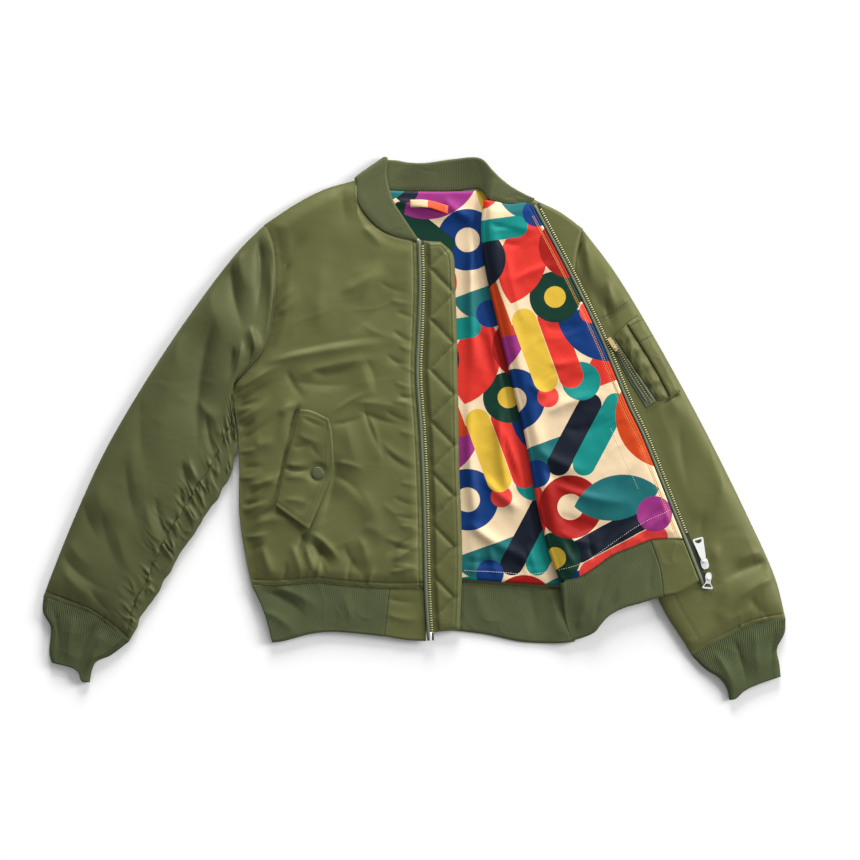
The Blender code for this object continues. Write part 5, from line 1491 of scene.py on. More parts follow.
def make_sleeve(side, rails, armhole, cuff_seam, folds, under_folds):
    """Top sleeve over the outer edge and under sleeve over the inner edge. Returns the top one."""
    seed, flip = (70, 1) if side == "right" else (80, -1)
    outer = smooth([(row.outer_x, row.outer_y) for row in rails])
    straight = smooth([(row.inner_x, row.inner_y) for row in rails])
    waves = lambda t: 0.5 + 0.5 * uneven(t * 340, 0 * t, 13, seed + 8)
    scallops = lambda t: flip * GATHERED[side] * waves(t) * ease((t - 0.2) * 9) * ease((1 - t) * 14)
    inner = offset(straight, scallops)
    places = np.linspace(0, 1, len(rails))
    seam = lambda v: np.interp(v, places, [row.seam for row in rails])
    surface = sleeve_surface(smooth(armhole), smooth(cuff_seam), inner, outer)
    along = measure(outer)
    near = lambda v, reach: ease(np.minimum(v, 1 - v) * along / reach)
    low = lambda v: 3.4 * (1 - near(v, 22))
    high = lambda v: 8.6 + (SLEEVE_HIGH - 8.6) * near(v, 26) ** 0.8
    rim_in = lambda v: np.minimum(RIM_IN[side], 0.9 * seam(v))

    def room(plan):
        """How much of the free height there is: none under the turned front."""
        if side == "right":
            return np.ones(len(plan))
        return ease((beside(plan[:, 0], plan[:, 1], ZIP_LEFT) - 3) / 22)

    def top(plan, share, v, rise):
        """The height of the wadding's crown, and of the folds on it."""
        x, y = plan.T
        crown = CROWN[side] * near(v, 60) * room(plan) * rise * np.sin(pi * share) ** 0.7
        from_cuff, from_body = (1 - v) * along, v * along
        from_inner = share * tube.span(v) - seam(v)
        down = along - from_cuff
        z = creases(folds, x, y) + 2.0 * uneven(x, y, 80, seed) + 0.8 * uneven(x, y, 36, seed + 1)
        z += 0.7 * wrinkles(x, y, 70 * flip, 80, 26, seed + 2)
        across = share * 150
        z += 2.4 * ripples(across, down, 90, 26, 9, seed + 3) * np.exp(-from_cuff / 17)
        z += 1.4 * ripples(across, down, 90, 14, 9, seed + 4) * np.exp(-from_body / 9)
        z += groove(from_cuff, 7.0, 1.3, 1.4) + groove(from_cuff, 1.4, 1.0, 0.6)
        # The under sleeve's seam is gathered, which draws short folds across itself.
        above = wrinkles(down, from_inner, 76, 24, 8.4, seed + 5) * np.exp(-np.maximum(from_inner, 0) / 13)
        below = wrinkles(down, from_inner, 97, 22, 9.0, seed + 6)
        ruche = np.where(from_inner > 0, above, below * ease((from_inner + seam(v)) / 6))
        z += RUCHE[side] * (ruche - 0.25 * np.exp(-np.maximum(from_inner, 0) / 9)) * near(v, 30)
        z += groove(from_inner, 0.0, 2.0, 0.8)
        z = z * near(v, 5) * np.where(room(plan) > 0, 1.0, 0.0) * (0.05 + 0.95 * room(plan)) - 0.05
        return crown + z * rise**1.5

    def under(plan, share, v):
        x, y = plan.T
        z = creases(under_folds, x, y) + 0.6 * uneven(x, y, 40, seed + 5)
        z += 1.2 * np.maximum(uneven(share * 150, v * 60, 9, seed + 6), 0) * np.exp(-(1 - v) * along / 22)
        return np.maximum(z, 0) * near(v, 10)

    tube = Tube(surface, low, high, rim_in, level(RIM_OUT), top, under)
    rows = finer(spread(0, 1, 2.4, along), 1, 10, 0.9, along)
    outer_top, outer_under = (lambda v, at=at: tube.below(at, v) for at in (UNDER_SEAM, UNDER_SEAM - 0.2))
    inner_top, inner_under = (lambda v, gap=gap: tube.column(seam(v) + gap, v) for gap in (0.03, 0.0))
    halves = (
        sleeve_half(side, "top", tube, outer_top, inner_top, rows, 82),
        sleeve_half(side, "under", tube, inner_under, lambda v: 4 + outer_under(v), rows, 72),
    )

    def beside_seam(far):
        """A line along the sleeve, at a distance from the seam between its two halves."""
        v = 0.02 + 0.965 * np.linspace(0, 1, 40)
        return smooth(surface((seam(v) + far) / tube.span(v), v))

    stitch_sleeve(side, flip, dropper(*halves), smooth(cuff_seam), beside_seam)
    return halves[0]


def sleeve_half(side, part, tube, first, last, rows, count):
    """The top or under sleeve: the cloth of a tube from one column to another, at each v."""

    def face(w, v, depth):
        return tube.place((first(v) + (last(v) - first(v)) * w) % 4.0, v, depth)

    columns = np.unique(np.append(np.linspace(0, 1, count), (0.0015, 0.9985)))
    low, high = (lambda w, v, depth=depth: face(w, v, depth) for depth in (CLOTH, 0.0))
    # The right sleeve takes the darker copy of the nylon: painted shade.
    finish = SHELL_PAINTED_SHADE if side == "right" else SHELL
    return wall(f"sleeve_{side}_{part}_cloth", columns, rows, low, high, finish)


def stitch_sleeve(side, flip, ground, cuff, beside_seam):
    """Two rows beside the cuff, and on the left two beside the long seam and two over the pocket."""
    lines = {"cuff_lower": offset(cuff, 1.8 * flip), "cuff_upper": offset(cuff, 7.0 * flip)}
    if side == "left":
        near_cuff = np.linspace(0.72, 0.99, 9)
        lines["seam"] = smooth(beside_seam(2.2)(near_cuff))
        lines["seam_upper"] = smooth(beside_seam(5.0)(near_cuff))
        lines["pocket_seam"] = smooth([(241, 139), (262, 148), (283, 165)])
        lines["pocket_seam_upper"] = smooth([(238, 142), (260, 151), (281, 168)])
    for seam, line in lines.items():
        stitches(f"sleeve_{side}_{seam}_stitches", line, 3.2, ground, THREAD, sink=0.05, gaps=ENDS)


CUFF_RIGHT = {
    "mouth": [(-421, -330), (-431, -328), (-436, -316), (-446, -310), (-471, -304)],
    "inner": [(-370, -277), (-394, -295), (-412, -303), (-418, -314), (-421, -330)],
    "outer": [(-481, -218), (-482, -238), (-472, -258), (-474, -290), (-471, -304)],
}
CUFF_LEFT = {
    "mouth": [(412, -353), (420, -351), (431, -341), (447, -333), (479, -322)],
    "inner": [(363, -295), (381, -313), (398, -324), (408, -337), (412, -353)],
    "outer": [(485, -247), (484, -265), (474, -287), (477, -305), (479, -322)],
}
CUFF_CREASES_RIGHT = table(
    CREASE,
    (-398, -262, -424, -322, 4, 7, 9, 1.6),
    (-412, -252, -436, -312, 3, 6, 7, -1.6),
    (-440, -240, -448, -308, 3, 8, 8, 1.2),
    (-468, -232, -462, -300, -3, 7, 7, -1.2),
)
CUFF_CREASES_LEFT = table(
    CREASE,
    (392, -290, 420, -346, -3, 7, 8, 1.5),
    (416, -272, 434, -338, -3, 6, 7, -1.5),
    (446, -262, 452, -330, 3, 8, 9, 1.2),
    (472, -258, 466, -322, 2, 6, 6, -1.0),
)


def make_cuff(side, outline, seam, folds):
    """Rib ring sewn to the sleeve's end, flattened and a little twisted."""
    surface = panel(seam, outline["mouth"], outline["inner"], outline["outer"])
    low = lambda v: 3.2 * (1 - ease(v * 6))
    high = lambda v: 8.4 + 1.6 * ease(v * 4) - 1.4 * ease((v - 0.5) * 2)

    def top(plan, share, v, rise):
        x, y = plan.T
        wales = np.sin(share * 110 * (1 - 0.35 * v) * 2 * pi / 2.6) * 0.22 * np.exp(-v / 0.2)
        slack = 0.5 * uneven(x, y, 18, 91) + 0.5 * wrinkles(x, y, 60, 24, 12, 92)
        return (creases(folds, x, y) + slack + wales) * ease(v * 8) * rise**1.5

    tube = Tube(surface, low, high, level(6.0), level(7.0), top)
    flats, rounds = np.linspace(0, 1, 60), np.linspace(0, 1, 9)
    columns = np.concatenate([flats, 1 + rounds[1:], 2 + flats[1:], 3 + rounds[1:]])

    def cloth(w, v):
        leg = np.minimum(np.floor(w), 3)
        return np.stack([leg * 60 + (w - leg) * 118 * (1 - 0.35 * v), v * 80], -1)

    def face(w, v, depth):
        rolled = depth * ease((1 - v) / 0.03)
        return tube.place(np.minimum(w, 3.99999), v, rolled + 0.02)

    wall(
        f"cuff_{side}_rib", columns, spread(0, 1, 1.8, 78), lambda w, v: face(w, v, 2.6),
        lambda w, v: face(w, v, 0.0), RIB_CUFF, uv=cloth, ring=True,
        stretched=lambda w, v: 0.15 + 0.85 * np.exp(-((v / 0.5) ** 2)),
    )


# ---------------------------------------------------------------- collar

COLLAR_FRONT_Z, COLLAR_BACK_Z = 10.0, COLLAR_WALL / 2
# The free edge beside each place of the neck seam, from the right front's zip round to the left's.
COLLAR_RIGHT = table(
    "seam_x seam_y free_x free_y z",
    (5, 244.2, 6, 248, 10.2),
    (-1, 246.0, 4, 251, 10.2),
    (-31, 253.8, -14, 278, 10.2),
    (-53.6, 268.4, -26, 298, 10.2),
    (-73, 296.0, -34, 328, 10.2),
)
COLLAR_LEFT = table(
    "seam_x seam_y free_x free_y z",
    (-50, 313.4, -20, 350, 2.0),
    (-26, 310.4, -5, 347, 2.0),
    (8, 309.4, 16, 346, 2.0),
    (52, 309.4, 52, 351, 2.0),
    (85, 311.4, 86, 352, 8.7),
    (97.5, 298.4, 103, 336, 15.7),
    (104, 295.9, 112, 327, 15.7),
    (126, 291.9, 128, 314.5, 15.7),
    (146, 293.9, 147, 304, 15.7),
    (154.5, 294.6, 158.5, 299, 15.7),
)
COLLAR_FOLD = np.array(((-76, 325.6), (-35, 354.3)))


def through(points):
    """A smooth line through points that are one step of k apart."""
    points = np.array(points, float)
    slopes = np.gradient(points, axis=0)

    def at(k):
        i = np.clip(np.floor(k).astype(int), 0, len(points) - 2)
        f = (k - i)[:, None]
        ahead = slopes[i] * (f**3 - 2 * f**2 + f) + slopes[i + 1] * (f**3 - f**2)
        return points[i] * (2 * f**3 - 3 * f**2 + 1) + points[i + 1] * (3 * f**2 - 2 * f**3) + ahead

    return at


def make_collar():
    """One strip of rib: over the right front, round under itself at the neck, and on to the left."""
    along = COLLAR_FOLD[1] - COLLAR_FOLD[0]
    out = np.array((-along[1], along[0])) / np.linalg.norm(along)
    middle = (COLLAR_FRONT_Z + COLLAR_BACK_Z) / 2
    radius = (COLLAR_FRONT_Z - COLLAR_BACK_Z) / 2
    seam = [(row.seam_x, row.seam_y, row.z) for row in COLLAR_RIGHT]
    free = [(row.free_x, row.free_y, row.z) for row in COLLAR_RIGHT]
    outward = [(0, 0, 1)] * len(COLLAR_RIGHT)
    for angle in np.radians((90, 45, 0, -45, -90)):
        shift = out * radius * (np.cos(angle) - 1)
        for rail, end in ((seam, COLLAR_FOLD[0]), (free, COLLAR_FOLD[1])):
            rail.append((*(end + shift), middle + radius * np.sin(angle)))
        outward.append((*(out * np.cos(angle)), np.sin(angle)))
    for row in COLLAR_LEFT:
        seam.append((row.seam_x, row.seam_y, row.z))
        free.append((row.free_x, row.free_y, row.z))
        outward.append((0, 0, -1))
    seam_at, free_at, out_at = through(seam), through(free), through(outward)
    last = len(seam) - 1
    fine = np.linspace(0, last, 1200)
    steps = np.linalg.norm(np.diff(seam_at(fine) + free_at(fine), axis=0), axis=1) / 2
    length = np.append(0, np.cumsum(steps))

    def face(k, t, side):
        normal = out_at(k)
        normal /= np.linalg.norm(normal, axis=1)[:, None]
        t = t[:, None]
        spot = seam_at(k) * (1 - t) + free_at(k) * t
        wide = np.linalg.norm(seam_at(k) - free_at(k), axis=1)
        t = t[:, 0]
        tip = np.clip((1 - t) * wide / 2.6, 0, 1)
        full = COLLAR_WALL / 2 * np.sqrt(np.maximum(1 - (1 - tip) ** 2, 0.002))
        full *= 0.62 + 0.38 * ease(t * wide / 6)
        s = np.interp(k, fine, length)
        swell = 0.5 * uneven(s, t * 20, 26, 101) + 0.5 * ripples(s, t * 42, 80, 20, 14, 102)
        swell = swell * ease(t * 5) * ease((1 - t) * 6)
        # Round the back of the neck the collar's free edge stands a little off the surface.
        stands = 7.0 * ease((s - 150) / 40) * ease((320 - s) / 60) * t**1.5
        return spot + normal * (side * full + swell)[:, None] + np.stack([0 * t, 0 * t, stands], -1)

    columns = np.interp(np.linspace(0, length[-1], int(length[-1] / 1.8)), length, fine)

    def cloth(k, t):
        return np.stack([np.interp(k, fine, length), t * 42], -1)

    wall(
        "collar_rib", columns, np.linspace(0, 1, 22) ** 0.9, lambda k, t: face(k, t, -1.0),
        lambda k, t: face(k, t, 1.0), RIB_NECK, uv=cloth,
        stretched=lambda k, t: 0.25 + 0.2 * np.exp(-t / 0.3),
    )


# ---------------------------------------------------------------- waistband

TAB_SEAM_SHARE, TAB_WALL = 0.8, 3.8
HEM_FRONT = smooth(HEM_RIGHT)
WAIST_CREASES = table(
    CREASE,
    (-198, -210, -136, -248, -6, 9, 12, -1.9),
    (-180, -206, -120, -236, -5, 7, 9, 1.4),
    (-196, -236, -150, -268, -4, 7, 7, 1.1),
    (-90, -212, -70, -260, 3, 10, 12, 0.9),
    (-34, -220, 10, -224, 3, 6, 5, -1.0),
    (-36, -240, 14, -248, 3, 6, 6, 0.8),
    (80, -206, 110, -266, 4, 14, 16, 1.0),
    (150, -206, 160, -274, -3, 9, 10, -1.1),
    (176, -206, 190, -270, -3, 8, 9, 1.0),
)


def rib_face(surface, width, z, thick, side, seed, swings):
    """A face of a doubled band: full at its folded edge, pinched at the seam, waved along it. One
    that swings rises below the turned front, and goes over with it."""

    def at(u, v):
        plan = surface(u, v)
        x, y = plan.T
        from_foot, from_seam = v * width, (1 - v) * width
        full = thick / 2 * np.sqrt(np.maximum(1 - (1 - np.clip(from_foot / 2.4, 0, 1)) ** 2, 0.002))
        full *= 0.68 + 0.32 * ease(from_seam / 8)
        lift = 0.0
        if side > 0:
            waves = 0.7 * uneven(x, y * 0.3, 19, seed) * np.exp(-from_seam / 16)
            waves = waves + 0.5 * uneven(x, y, 30, seed + 1)
            waves = waves + 0.7 * ripples(x, y, 100, 30, 16, seed + 2)
            lift = (waves + creases(WAIST_CREASES, x, y)) * ease(from_foot / 6) * ease(from_seam / 4)
            if swings:
                beyond = beside(x, y, WAIST_LEFT_FOLD)
                rise = np.exp(-((np.minimum(beyond + 2, 0) / 19) ** 2)) * (1 - ease((beyond - 2) / 8))
                lift = lift + 5.1 * rise * (1 - ease((v - 0.2) / 0.6))
        return joined(plan, z + thick / 2 + side * full + lift)

    return at


def drawn_in(u, v):
    """How far a band's rib is stretched: most beside its seam."""
    return 0.2 + 0.25 * np.exp(-(1 - v) / 0.2)


def make_band(name, surface, width, long, z, thick, finish, seed, swings=False):
    """A doubled band of rib or nylon below the hem."""
    low, high = (rib_face(surface, width, z, thick, side, seed, swings) for side in (-1, 1))
    return wall(
        name, spread(0, 1, 2.2, long), spread(0, 1, 1.8, width), low, high, finish,
        uv=lambda u, v: np.stack([u * long, v * width], -1), stretched=drawn_in,
    )


def make_waistband():
    """The back's rib, the right front's rib and its nylon end."""
    back = panel(WAIST_BACK_FOOT, HEM_BACK, WAIST_SIDE_RIGHT, WAIST_SIDE_LEFT)
    make_band("waistband_back_rib", back, 68, 430, 0.0, RIB_WALL, RIB_BODY, 111, swings=True)
    seam = smooth([WAIST_RIGHT_FOOT[-1], HEM_FRONT(TAB_SEAM_SHARE)])
    top = lambda t: HEM_FRONT(np.asarray(t) * TAB_SEAM_SHARE)
    right = patch(smooth(WAIST_RIGHT_FOOT), top, smooth(WAIST_SIDE_RIGHT), seam)
    make_band("waistband_right_rib", right, 66, 165, BAND_Z, RIB_WALL + 0.6, RIB_BODY, 113)
    top = lambda t: HEM_FRONT(TAB_SEAM_SHARE + (1 - TAB_SEAM_SHARE) * np.asarray(t, float))
    tab = patch(smooth(TAB_RIGHT_FOOT), top, offset(seam, 0.1), smooth([TAB_RIGHT_FOOT[-1], (14, -207)]))
    tab = make_band("waist_tab_right_cloth", tab, 66, 54, BAND_Z, TAB_WALL + 0.8, SHELL_TRIM, 115)
    stitches("waist_tab_right_stitches", offset(seam, 1.6), 3.0, dropper(tab), THREAD, sink=0.05)


LEFT_BAND_WALL, LEFT_BAND_HIGH, LEFT_BAND_WIDE = 2.2, 9.6, 66
TURNED_TAB_SHARE = 0.75
LEFT_BAND_CREASES = table(
    CREASE,
    (212, -262, 226, -206, 3, 8, 9, 1.4),
    (236, -250, 262, -176, -4, 7, 8, -1.2),
    (262, -226, 300, -160, -3, 9, 9, 1.1),
    (306, -214, 316, -156, -2, 6, 6, -0.8),
)


def make_left_waistband():
    """The left front's rib, folded over with it, and its nylon end."""
    full, wide = TURNED_Z + TURNED_WALL, LEFT_BAND_WIDE
    turn = Turn(
        smooth(WAIST_LEFT_FOLD),
        lambda v: BAND_Z + 3.0 * v,
        lambda v: LEFT_BAND_HIGH + (full - LEFT_BAND_HIGH) * ease((v - 0.3) / 0.7),
    )
    side = smooth(WAIST_SIDE_LEFT)
    inner_side = lambda v: side(0.04 + 0.92 * np.asarray(v, float)) - np.array((1.5, 0))
    start = turn.centre
    foot, top = smooth([start(0.0), inner_side(0.0)]), smooth([start(1.0), inner_side(1.0)])
    under = patch(foot, top, start, inner_side)
    end = smooth([TAB_LEFT_SEAM[0], TAB_LEFT_SEAM[1], TURNED_SEAM(TURNED_TAB_SHARE)])
    top = lambda t: TURNED_SEAM(np.asarray(t) * TURNED_TAB_SHARE)
    over = patch(smooth([start(0.0), *WAIST_LEFT_FOOT]), top, start, end)

    def relief(u, v):
        x, y = over(u, v).T
        z = (full - turn.high(v)) * ease(u / 0.4)
        from_foot, from_seam = v * wide, (1 - v) * wide
        folded = 1.6 * (1 - np.sqrt(np.maximum(1 - (1 - np.clip(from_foot / 2.6, 0, 1)) ** 2, 0)))
        z = z - folded - 0.8 * (1 - ease(from_seam / 7))
        waves = 0.7 * uneven(x, y, 15, 121) * np.exp(-from_seam / 14) + 0.35 * uneven(x, y, 24, 122)
        edges = ease(from_foot / 5) * ease(from_seam / 4)
        return z + (waves + creases(LEFT_BAND_CREASES, x, y)) * edges * ease(u * 8)

    legs = stretches((-1, 0, 5, 30), (0, 1, 1.6, 16), (1, 2, 2.2, 140))
    folded_wall(
        "waistband_left_rib", turn, under, over, legs, spread(0, 1, 1.8, 68), LEFT_BAND_WALL, RIB_BODY,
        relief, uv=lambda u, v: np.stack([u * 142, v * wide], -1), stretched=drawn_in,
    )
    start = offset(end, 0.1)
    edge = lambda v: SHELL_EDGE_LEFT(0.015 + (SHELL_HEM_AT - 0.02) * np.asarray(v, float))
    foot = smooth([start(0.0), (345, -213), (360, -205), edge(0.0)])
    top = smooth([start(1.0), TURNED_SEAM((1 + TURNED_TAB_SHARE) / 2), edge(1.0)])
    tab = patch(foot, top, start, edge)
    tab = make_band("waist_tab_left_cloth", tab, wide, 48, TURNED_Z, TAB_WALL + 0.8, SHELL_TRIM, 125)
    stitches("waist_tab_left_stitches", offset(end, 1.7), 3.0, dropper(tab), THREAD, sink=0.05)


# ---------------------------------------------------------------- left sleeve's pockets and the loop

TAPE_SLEEVE = panel(
    [(303, 28), (316, 36)],
    [(256.5, 114), (261, 117)],
    [(303, 28), (276, 72), (256.5, 114)],
    [(316, 36), (287, 79), (261, 117)],
)
PATCH_SLEEVE = panel(
    [(317, 36.5), (325, 37.5), (333, 41)],
    [(262, 119), (269, 128), (276.5, 136)],
    [(317, 36.5), (288, 79.5), (262, 119)],
    [(333, 41), (312.5, 79), (276.5, 136)],
)
PEN_SLEEVE = panel(
    [(334, 41.5), (347.5, 49)],
    [(277.5, 137), (295, 149)],
    [(334, 41.5), (313.5, 79.5), (277.5, 137)],
    [(347.5, 49), (337, 73), (295, 149)],
)
PATCH_CREASES = table(
    CREASE,
    (274, 94, 280, 122, -2, 3, 4, -2.3),
    (281, 90, 288, 116, -2, 4, 4, 1.8),
    (284, 80, 294, 104, -2, 3, 4, -2.0),
    (291, 72, 302, 94, -2, 4, 4, 1.7),
    (296, 60, 308, 82, -2, 3, 4, -2.0),
    (305, 56, 314, 72, 2, 4, 4, 1.4),
    (308, 44, 324, 62, -2, 3, 4, -1.9),
    (262, 112, 270, 128, 0, 3, 3, -1.4),
)
PEN_BARS = ([(283, 134), (296, 142)], [(296, 113.5), (308, 121)])


def make_sleeve_pocket(sleeve):
    """The tape with its teeth, the pocket under them and the pen pocket beside it."""
    ground = dropper(sleeve)
    base = SLEEVE_HIGH + GAP

    def height(plan):
        return np.maximum(ground(plan), base - 0.3)

    def tape_relief(u, v):
        ridge = np.sqrt(np.maximum(1 - ((np.abs(u - 0.55) - 0.27) / 0.11) ** 2, 0))
        return 1.5 * ridge * ease(v * 8) * ease((1 - v) * 8)

    low, high = laid_on(TAPE_SLEEVE, height, 0.1, 0.8, tape_relief)
    wall(
        "sleeve_pocket_tape_cloth", np.linspace(0, 1, 25), spread(0, 1, 2.0, 98), low, high, POCKET_TAPE,
        uv=lambda u, v: np.stack([u * 12, v * 98], -1),
    )
    teeth_line = smooth([TAPE_SLEEVE(np.array(0.55), np.array(v)) for v in np.linspace(0.03, 0.94, 12)])
    tape_top = np.median(height(teeth_line(np.linspace(0, 1, 30))))
    make_teeth("sleeve_pocket_teeth", teeth_line, 1, 0.0, tape_top + 1.6, finish=POCKET_TEETH)

    def patch_relief(u, v):
        x, y = PATCH_SLEEVE(u, v).T
        rims = [("start", 0.2, 6), ("end", 0.0, 9), ("foot", 0.2, 8), ("top", 0.2, 8)]
        z = pillow(PATCH_SLEEVE, u, v, 3.0, rims)
        return np.maximum(z + creases(PATCH_CREASES, x, y) + 0.3 * uneven(x, y, 11, 131), 0.1)

    low, high = laid_on(PATCH_SLEEVE, height, 0.3, 1.0, patch_relief)
    columns, rows = spread(0, 1, 1.4, 26), spread(0, 1, 1.6, 104)
    wall("sleeve_pocket_cloth", columns, rows, low, high, SHELL_TRIM)

    def pen_relief(u, v):
        x, y = PEN_SLEEVE(u, v).T
        rims = [("start", 0.9, 3), ("end", 0.0, 7), ("foot", 0.1, 6), ("top", 0.1, 6)]
        z = pillow(PEN_SLEEVE, u, v, 2.0, rims) + 0.4 * ripples(x, y, 140, 12, 7, 133)
        for foot, top in PEN_BARS:
            run, rise = top[0] - foot[0], top[1] - foot[1]
            from_bar = ((y - foot[1]) * run - (x - foot[0]) * rise) / np.hypot(run, rise)
            z += groove(from_bar, 0, 1.0, 0.9)
        return np.maximum(z, 0.05)

    low, high = laid_on(PEN_SLEEVE, height, 1.0, 1.0, pen_relief)
    columns, rows = spread(0, 1, 1.0, 18), spread(0, 1, 1.4, 116)
    on_pen = dropper(wall("pen_pocket_cloth", columns, rows, low, high, SHELL_TRIM))
    for number, ends in enumerate(PEN_BARS):
        stitches(f"pen_pocket_bar_{number}", smooth(ends), 1.6, on_pen, THREAD, long=1.5, thick=0.9)
    foot_seam = smooth([(303, 22), (320, 32), (335, 39), (347, 46)])
    stitches("sleeve_pocket_foot_stitches", foot_seam, 3.0, ground, THREAD, sink=0.05)
    upper_seam = smooth([(247, 145.5), (264, 156), (280, 166)])
    stitches("sleeve_left_pocket_stitches", upper_seam, 2.7, ground, THREAD, thick=0.8, sink=0.05)


def make_hanger(lining):
    """A narrow loop of lining cloth, arched, with a stitched bar at its left end."""
    ground = dropper(lining)
    foot, top = [(-4, 288), (20, 287), (45, 279)], [(-4, 298), (20, 297), (46, 290)]
    loop = panel(foot, top, [foot[0], top[0]], [foot[-1], top[-1]])

    def relief(u, v):
        arch = 4.0 * np.sin(pi * np.clip(u, 0, 1)) ** 0.8
        return arch + 0.3 * ease(v * 5) * ease((1 - v) * 5)

    high = laid_on(loop, ground, 0.2, 0.8, relief)[1]
    raised = lambda u, v: np.maximum(high(u, v) - np.array((0, 0, 1.1)), 0)
    hanger = wall(
        "hanger_loop_cloth", spread(0, 1, 1.5, 50), np.linspace(0, 1, 8), raised, high, LOOP_CLOTH,
        uv=lambda u, v: np.stack([u * 50, v * 10], -1),
    )
    bar = smooth([(42.5, 280.5), (43.5, 290)])
    stitches("hanger_bar", bar, 1.3, dropper(hanger), THREAD_PALE, long=1.2)


def make_zip_pin():
    """Rounded metal pin at the foot of the right tape."""
    bm = bmesh.new()
    low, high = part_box("zip_pin_right")
    place = Matrix.Translation((low + high) / 2) @ Matrix.Diagonal((*(high - low), 1))
    bmesh.ops.create_cube(bm, size=1.0, matrix=place)
    bmesh.ops.bevel(bm, geom=bm.edges[:], offset=0.7 * MM, segments=3, profile=0.5, affect="EDGES")
    mesh_piece("zip_pin_metal", bm, NICKEL, "zip_pin_right")


# ---------------------------------------------------------------- the whole jacket

back_lining = make_back()
make_pocket(make_right_front())
make_closure()
make_left_front()
make_left_zip()
make_sleeve("right", SLEEVE_RIGHT, ARMHOLE_RIGHT, CUFF_SEAM_RIGHT, CREASES_RIGHT, UNDERSIDE_RIGHT)
left_sleeve = make_sleeve("left", SLEEVE_LEFT, ARMHOLE_LEFT, CUFF_SEAM_LEFT, CREASES_LEFT, UNDERSIDE_LEFT)
make_cuff("right", CUFF_RIGHT, CUFF_SEAM_RIGHT, CUFF_CREASES_RIGHT)
make_cuff("left", CUFF_LEFT, CUFF_SEAM_LEFT, CUFF_CREASES_LEFT)
make_collar()
make_waistband()
make_left_waistband()
make_sleeve_pocket(left_sleeve)
make_hanger(back_lining)
make_zip_pin()

# The size that each cloth was cut to, in metres, and its area where it isn't a whole rectangle.
SHEETS = table(
    "piece width length area held rests_on slot",
    ("back_shell_cloth", 0.50, 0.53, 0.225, "laid", (), "padded_nylon"),
    ("back_lining_cloth", 0.48, 0.525, 0.215, "laid", ("back_shell_cloth",), "printed_lining"),
    ("front_right_cloth", 0.25, 0.535, 0.107, "laid", ("back_lining_cloth",), "padded_nylon"),
    ("front_left_cloth", 0.30, 0.53, 0.113, "folded", ("back_lining_cloth",), "padded_nylon"),
    ("front_left_lining_cloth", 0.20, 0.50, 0.074, "folded", ("front_left_cloth",), "printed_lining"),
    ("sleeve_right_top_cloth", 0.20, 0.56, 0.077, "laid", (), "padded_nylon"),
    ("sleeve_right_under_cloth", 0.18, 0.54, 0.063, "laid", (), "padded_nylon"),
    ("sleeve_left_top_cloth", 0.19, 0.56, 0.068, "laid", (), "padded_nylon"),
    ("sleeve_left_under_cloth", 0.16, 0.55, 0.054, "laid", (), "padded_nylon"),
    ("cuff_right_rib", 0.175, 0.085, 0.0138, "laid", (), "rib_knit"),
    ("cuff_left_rib", 0.19, 0.085, 0.015, "laid", (), "rib_knit"),
    ("collar_rib", 0.36, 0.040, 0.0124, "folded", (), "rib_knit"),
    ("waistband_back_rib", 0.43, 0.070, None, "laid", (), "rib_knit"),
    ("waistband_right_rib", 0.165, 0.070, None, "laid", ("waistband_back_rib",), "rib_knit"),
    ("waistband_left_rib", 0.18, 0.075, 0.0123, "folded", ("waistband_back_rib",), "rib_knit"),
    ("waist_tab_right_cloth", 0.054, 0.068, None, "laid", ("waistband_back_rib",), "plain_nylon"),
    ("waist_tab_left_cloth", 0.050, 0.068, None, "laid", ("sleeve_left_top_cloth",), "plain_nylon"),
    ("storm_flap_cloth", 0.050, 0.505, None, "laid", ("back_lining_cloth",), "padded_nylon"),
    ("zip_tape_right_cloth", 0.011, 0.52, None, "laid", ("storm_flap_cloth",), "zip_tape"),
    ("zip_tape_left_cloth", 0.0115, 0.52, None, "laid", ("sleeve_left_top_cloth",), "zip_tape"),
    ("pocket_flap_cloth", 0.055, 0.15, None, "laid", ("front_right_cloth",), "plain_nylon"),
    ("sleeve_pocket_cloth", 0.022, 0.105, None, "laid", ("sleeve_left_top_cloth",), "plain_nylon"),
    ("pen_pocket_cloth", 0.020, 0.115, None, "laid", ("sleeve_left_top_cloth",), "plain_nylon"),
    ("sleeve_pocket_tape_cloth", 0.014, 0.10, None, "laid", ("sleeve_left_top_cloth",), "zip_tape"),
    ("hanger_loop_cloth", 0.012, 0.050, None, "laid", ("back_lining_cloth",), "printed_lining"),
)

METAL_NODES = {
    NICKEL: ("zip_slider_upper", "zip_pull_upper", "zip_slider_lower", "zip_pull_lower"),
    BRASS_PULL: ("sleeve_pocket_slider", "sleeve_pocket_pull"),
    ENAMEL: ("snap_cap_right",),
}
for finish, names in METAL_NODES.items():
    for name in names:
        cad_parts[name].data.materials.clear()
        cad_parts[name].data.materials.append(finish)

# ---------------------------------------------------------------- floor, light and camera

FLOOR_SIZE = 9.0
floor_bm = bmesh.new()
bmesh.ops.create_grid(floor_bm, x_segments=1, y_segments=1, size=FLOOR_SIZE / 2)
floor_mesh = bpy.data.meshes.new("floor")
floor_bm.to_mesh(floor_mesh)
floor_bm.free()
PAPER_GRADE = (-0.245, -0.37, 0.0)  # the change in the logarithm of the paper's brightness, per metre


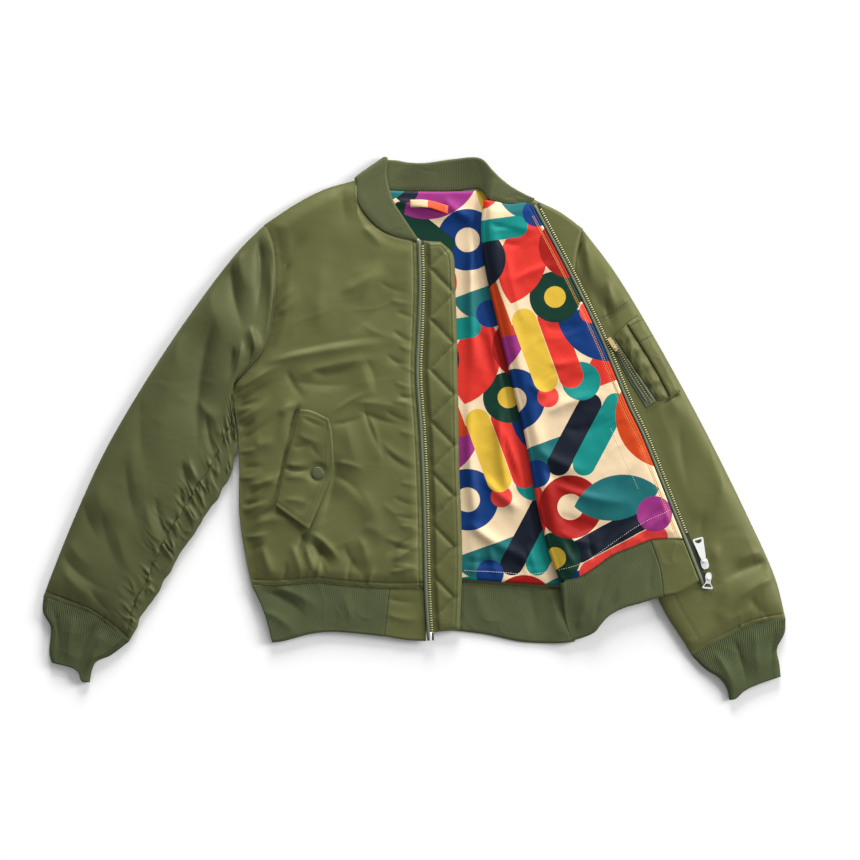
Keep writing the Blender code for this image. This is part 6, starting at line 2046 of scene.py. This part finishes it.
def paper_sweep():
    """Matt white paper, shaded greyer towards the lights, so that all of it is lit to one white."""
    made, tree, shader = material("graded_paper_sweep", {"Roughness": 0.95, "Specular IOR Level": 0.1})
    place = add(tree, "TexCoord")["Object"]
    grain = add(tree, "TexNoise", {"Vector": place, "Scale": 300.0})["Fac"]
    towards = add(tree, "VectorMath", {0: place, 1: PAPER_GRADE}, operation="DOT_PRODUCT")["Value"]
    graded = add(tree, "Math", {0: towards}, operation="EXPONENT")[0]
    speckle = add(tree, "MapRange", {"Value": grain, "To Min": 0.72, "To Max": 0.74})["Result"]
    white = add(tree, "Math", {0: graded, 1: speckle}, operation="MULTIPLY")[0]
    colours = {"Factor": white, "A": paint("#000000"), "B": paint("#fcfcfc")}
    return finished(made, shader, Base_Color=add(tree, "Mix", colours, data_type="RGBA")["Result"])


floor_mesh.materials.append(paper_sweep())
floor = bpy.data.objects.new("floor", floor_mesh)
floor.location.z = -0.0002
bpy.context.scene.collection.objects.link(floor)
floor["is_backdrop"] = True


def area_light(name, place, size, power):
    """A white square light that faces the jacket's middle."""
    lamp = bpy.data.lights.new(name, "AREA")
    lamp.size, lamp.energy = size, power
    thing = bpy.data.objects.new(name, lamp)
    thing.location = place
    thing.rotation_euler = (-Vector(place)).to_track_quat("-Z", "Y").to_euler()
    bpy.context.scene.collection.objects.link(thing)


area_light("key", (0.2, 2.9, 1.02), 1.6, 168.0)
area_light("side", (2.7, 0.7, 1.4), 1.4, 112.0)
world = bpy.data.worlds.new("studio")
world.use_nodes = True
world.node_tree.nodes["Background"].inputs["Color"].default_value = (1.0, 1.0, 1.0, 1.0)
world.node_tree.nodes["Background"].inputs["Strength"].default_value = 0.45
bpy.context.scene.world = world
bpy.context.scene.view_settings.view_transform = "Standard"

CAMERA_AT = (0.0201, -0.0027, 3.01)
lens = bpy.data.cameras.new("camera")
lens.lens, lens.sensor_width = 96.6, 36.0
lens.clip_end = 20.0
camera = bpy.data.objects.new("camera", lens)
camera.location = CAMERA_AT
bpy.context.scene.collection.objects.link(camera)
bpy.context.scene.camera = camera

low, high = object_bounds()
list(low)
list(high)
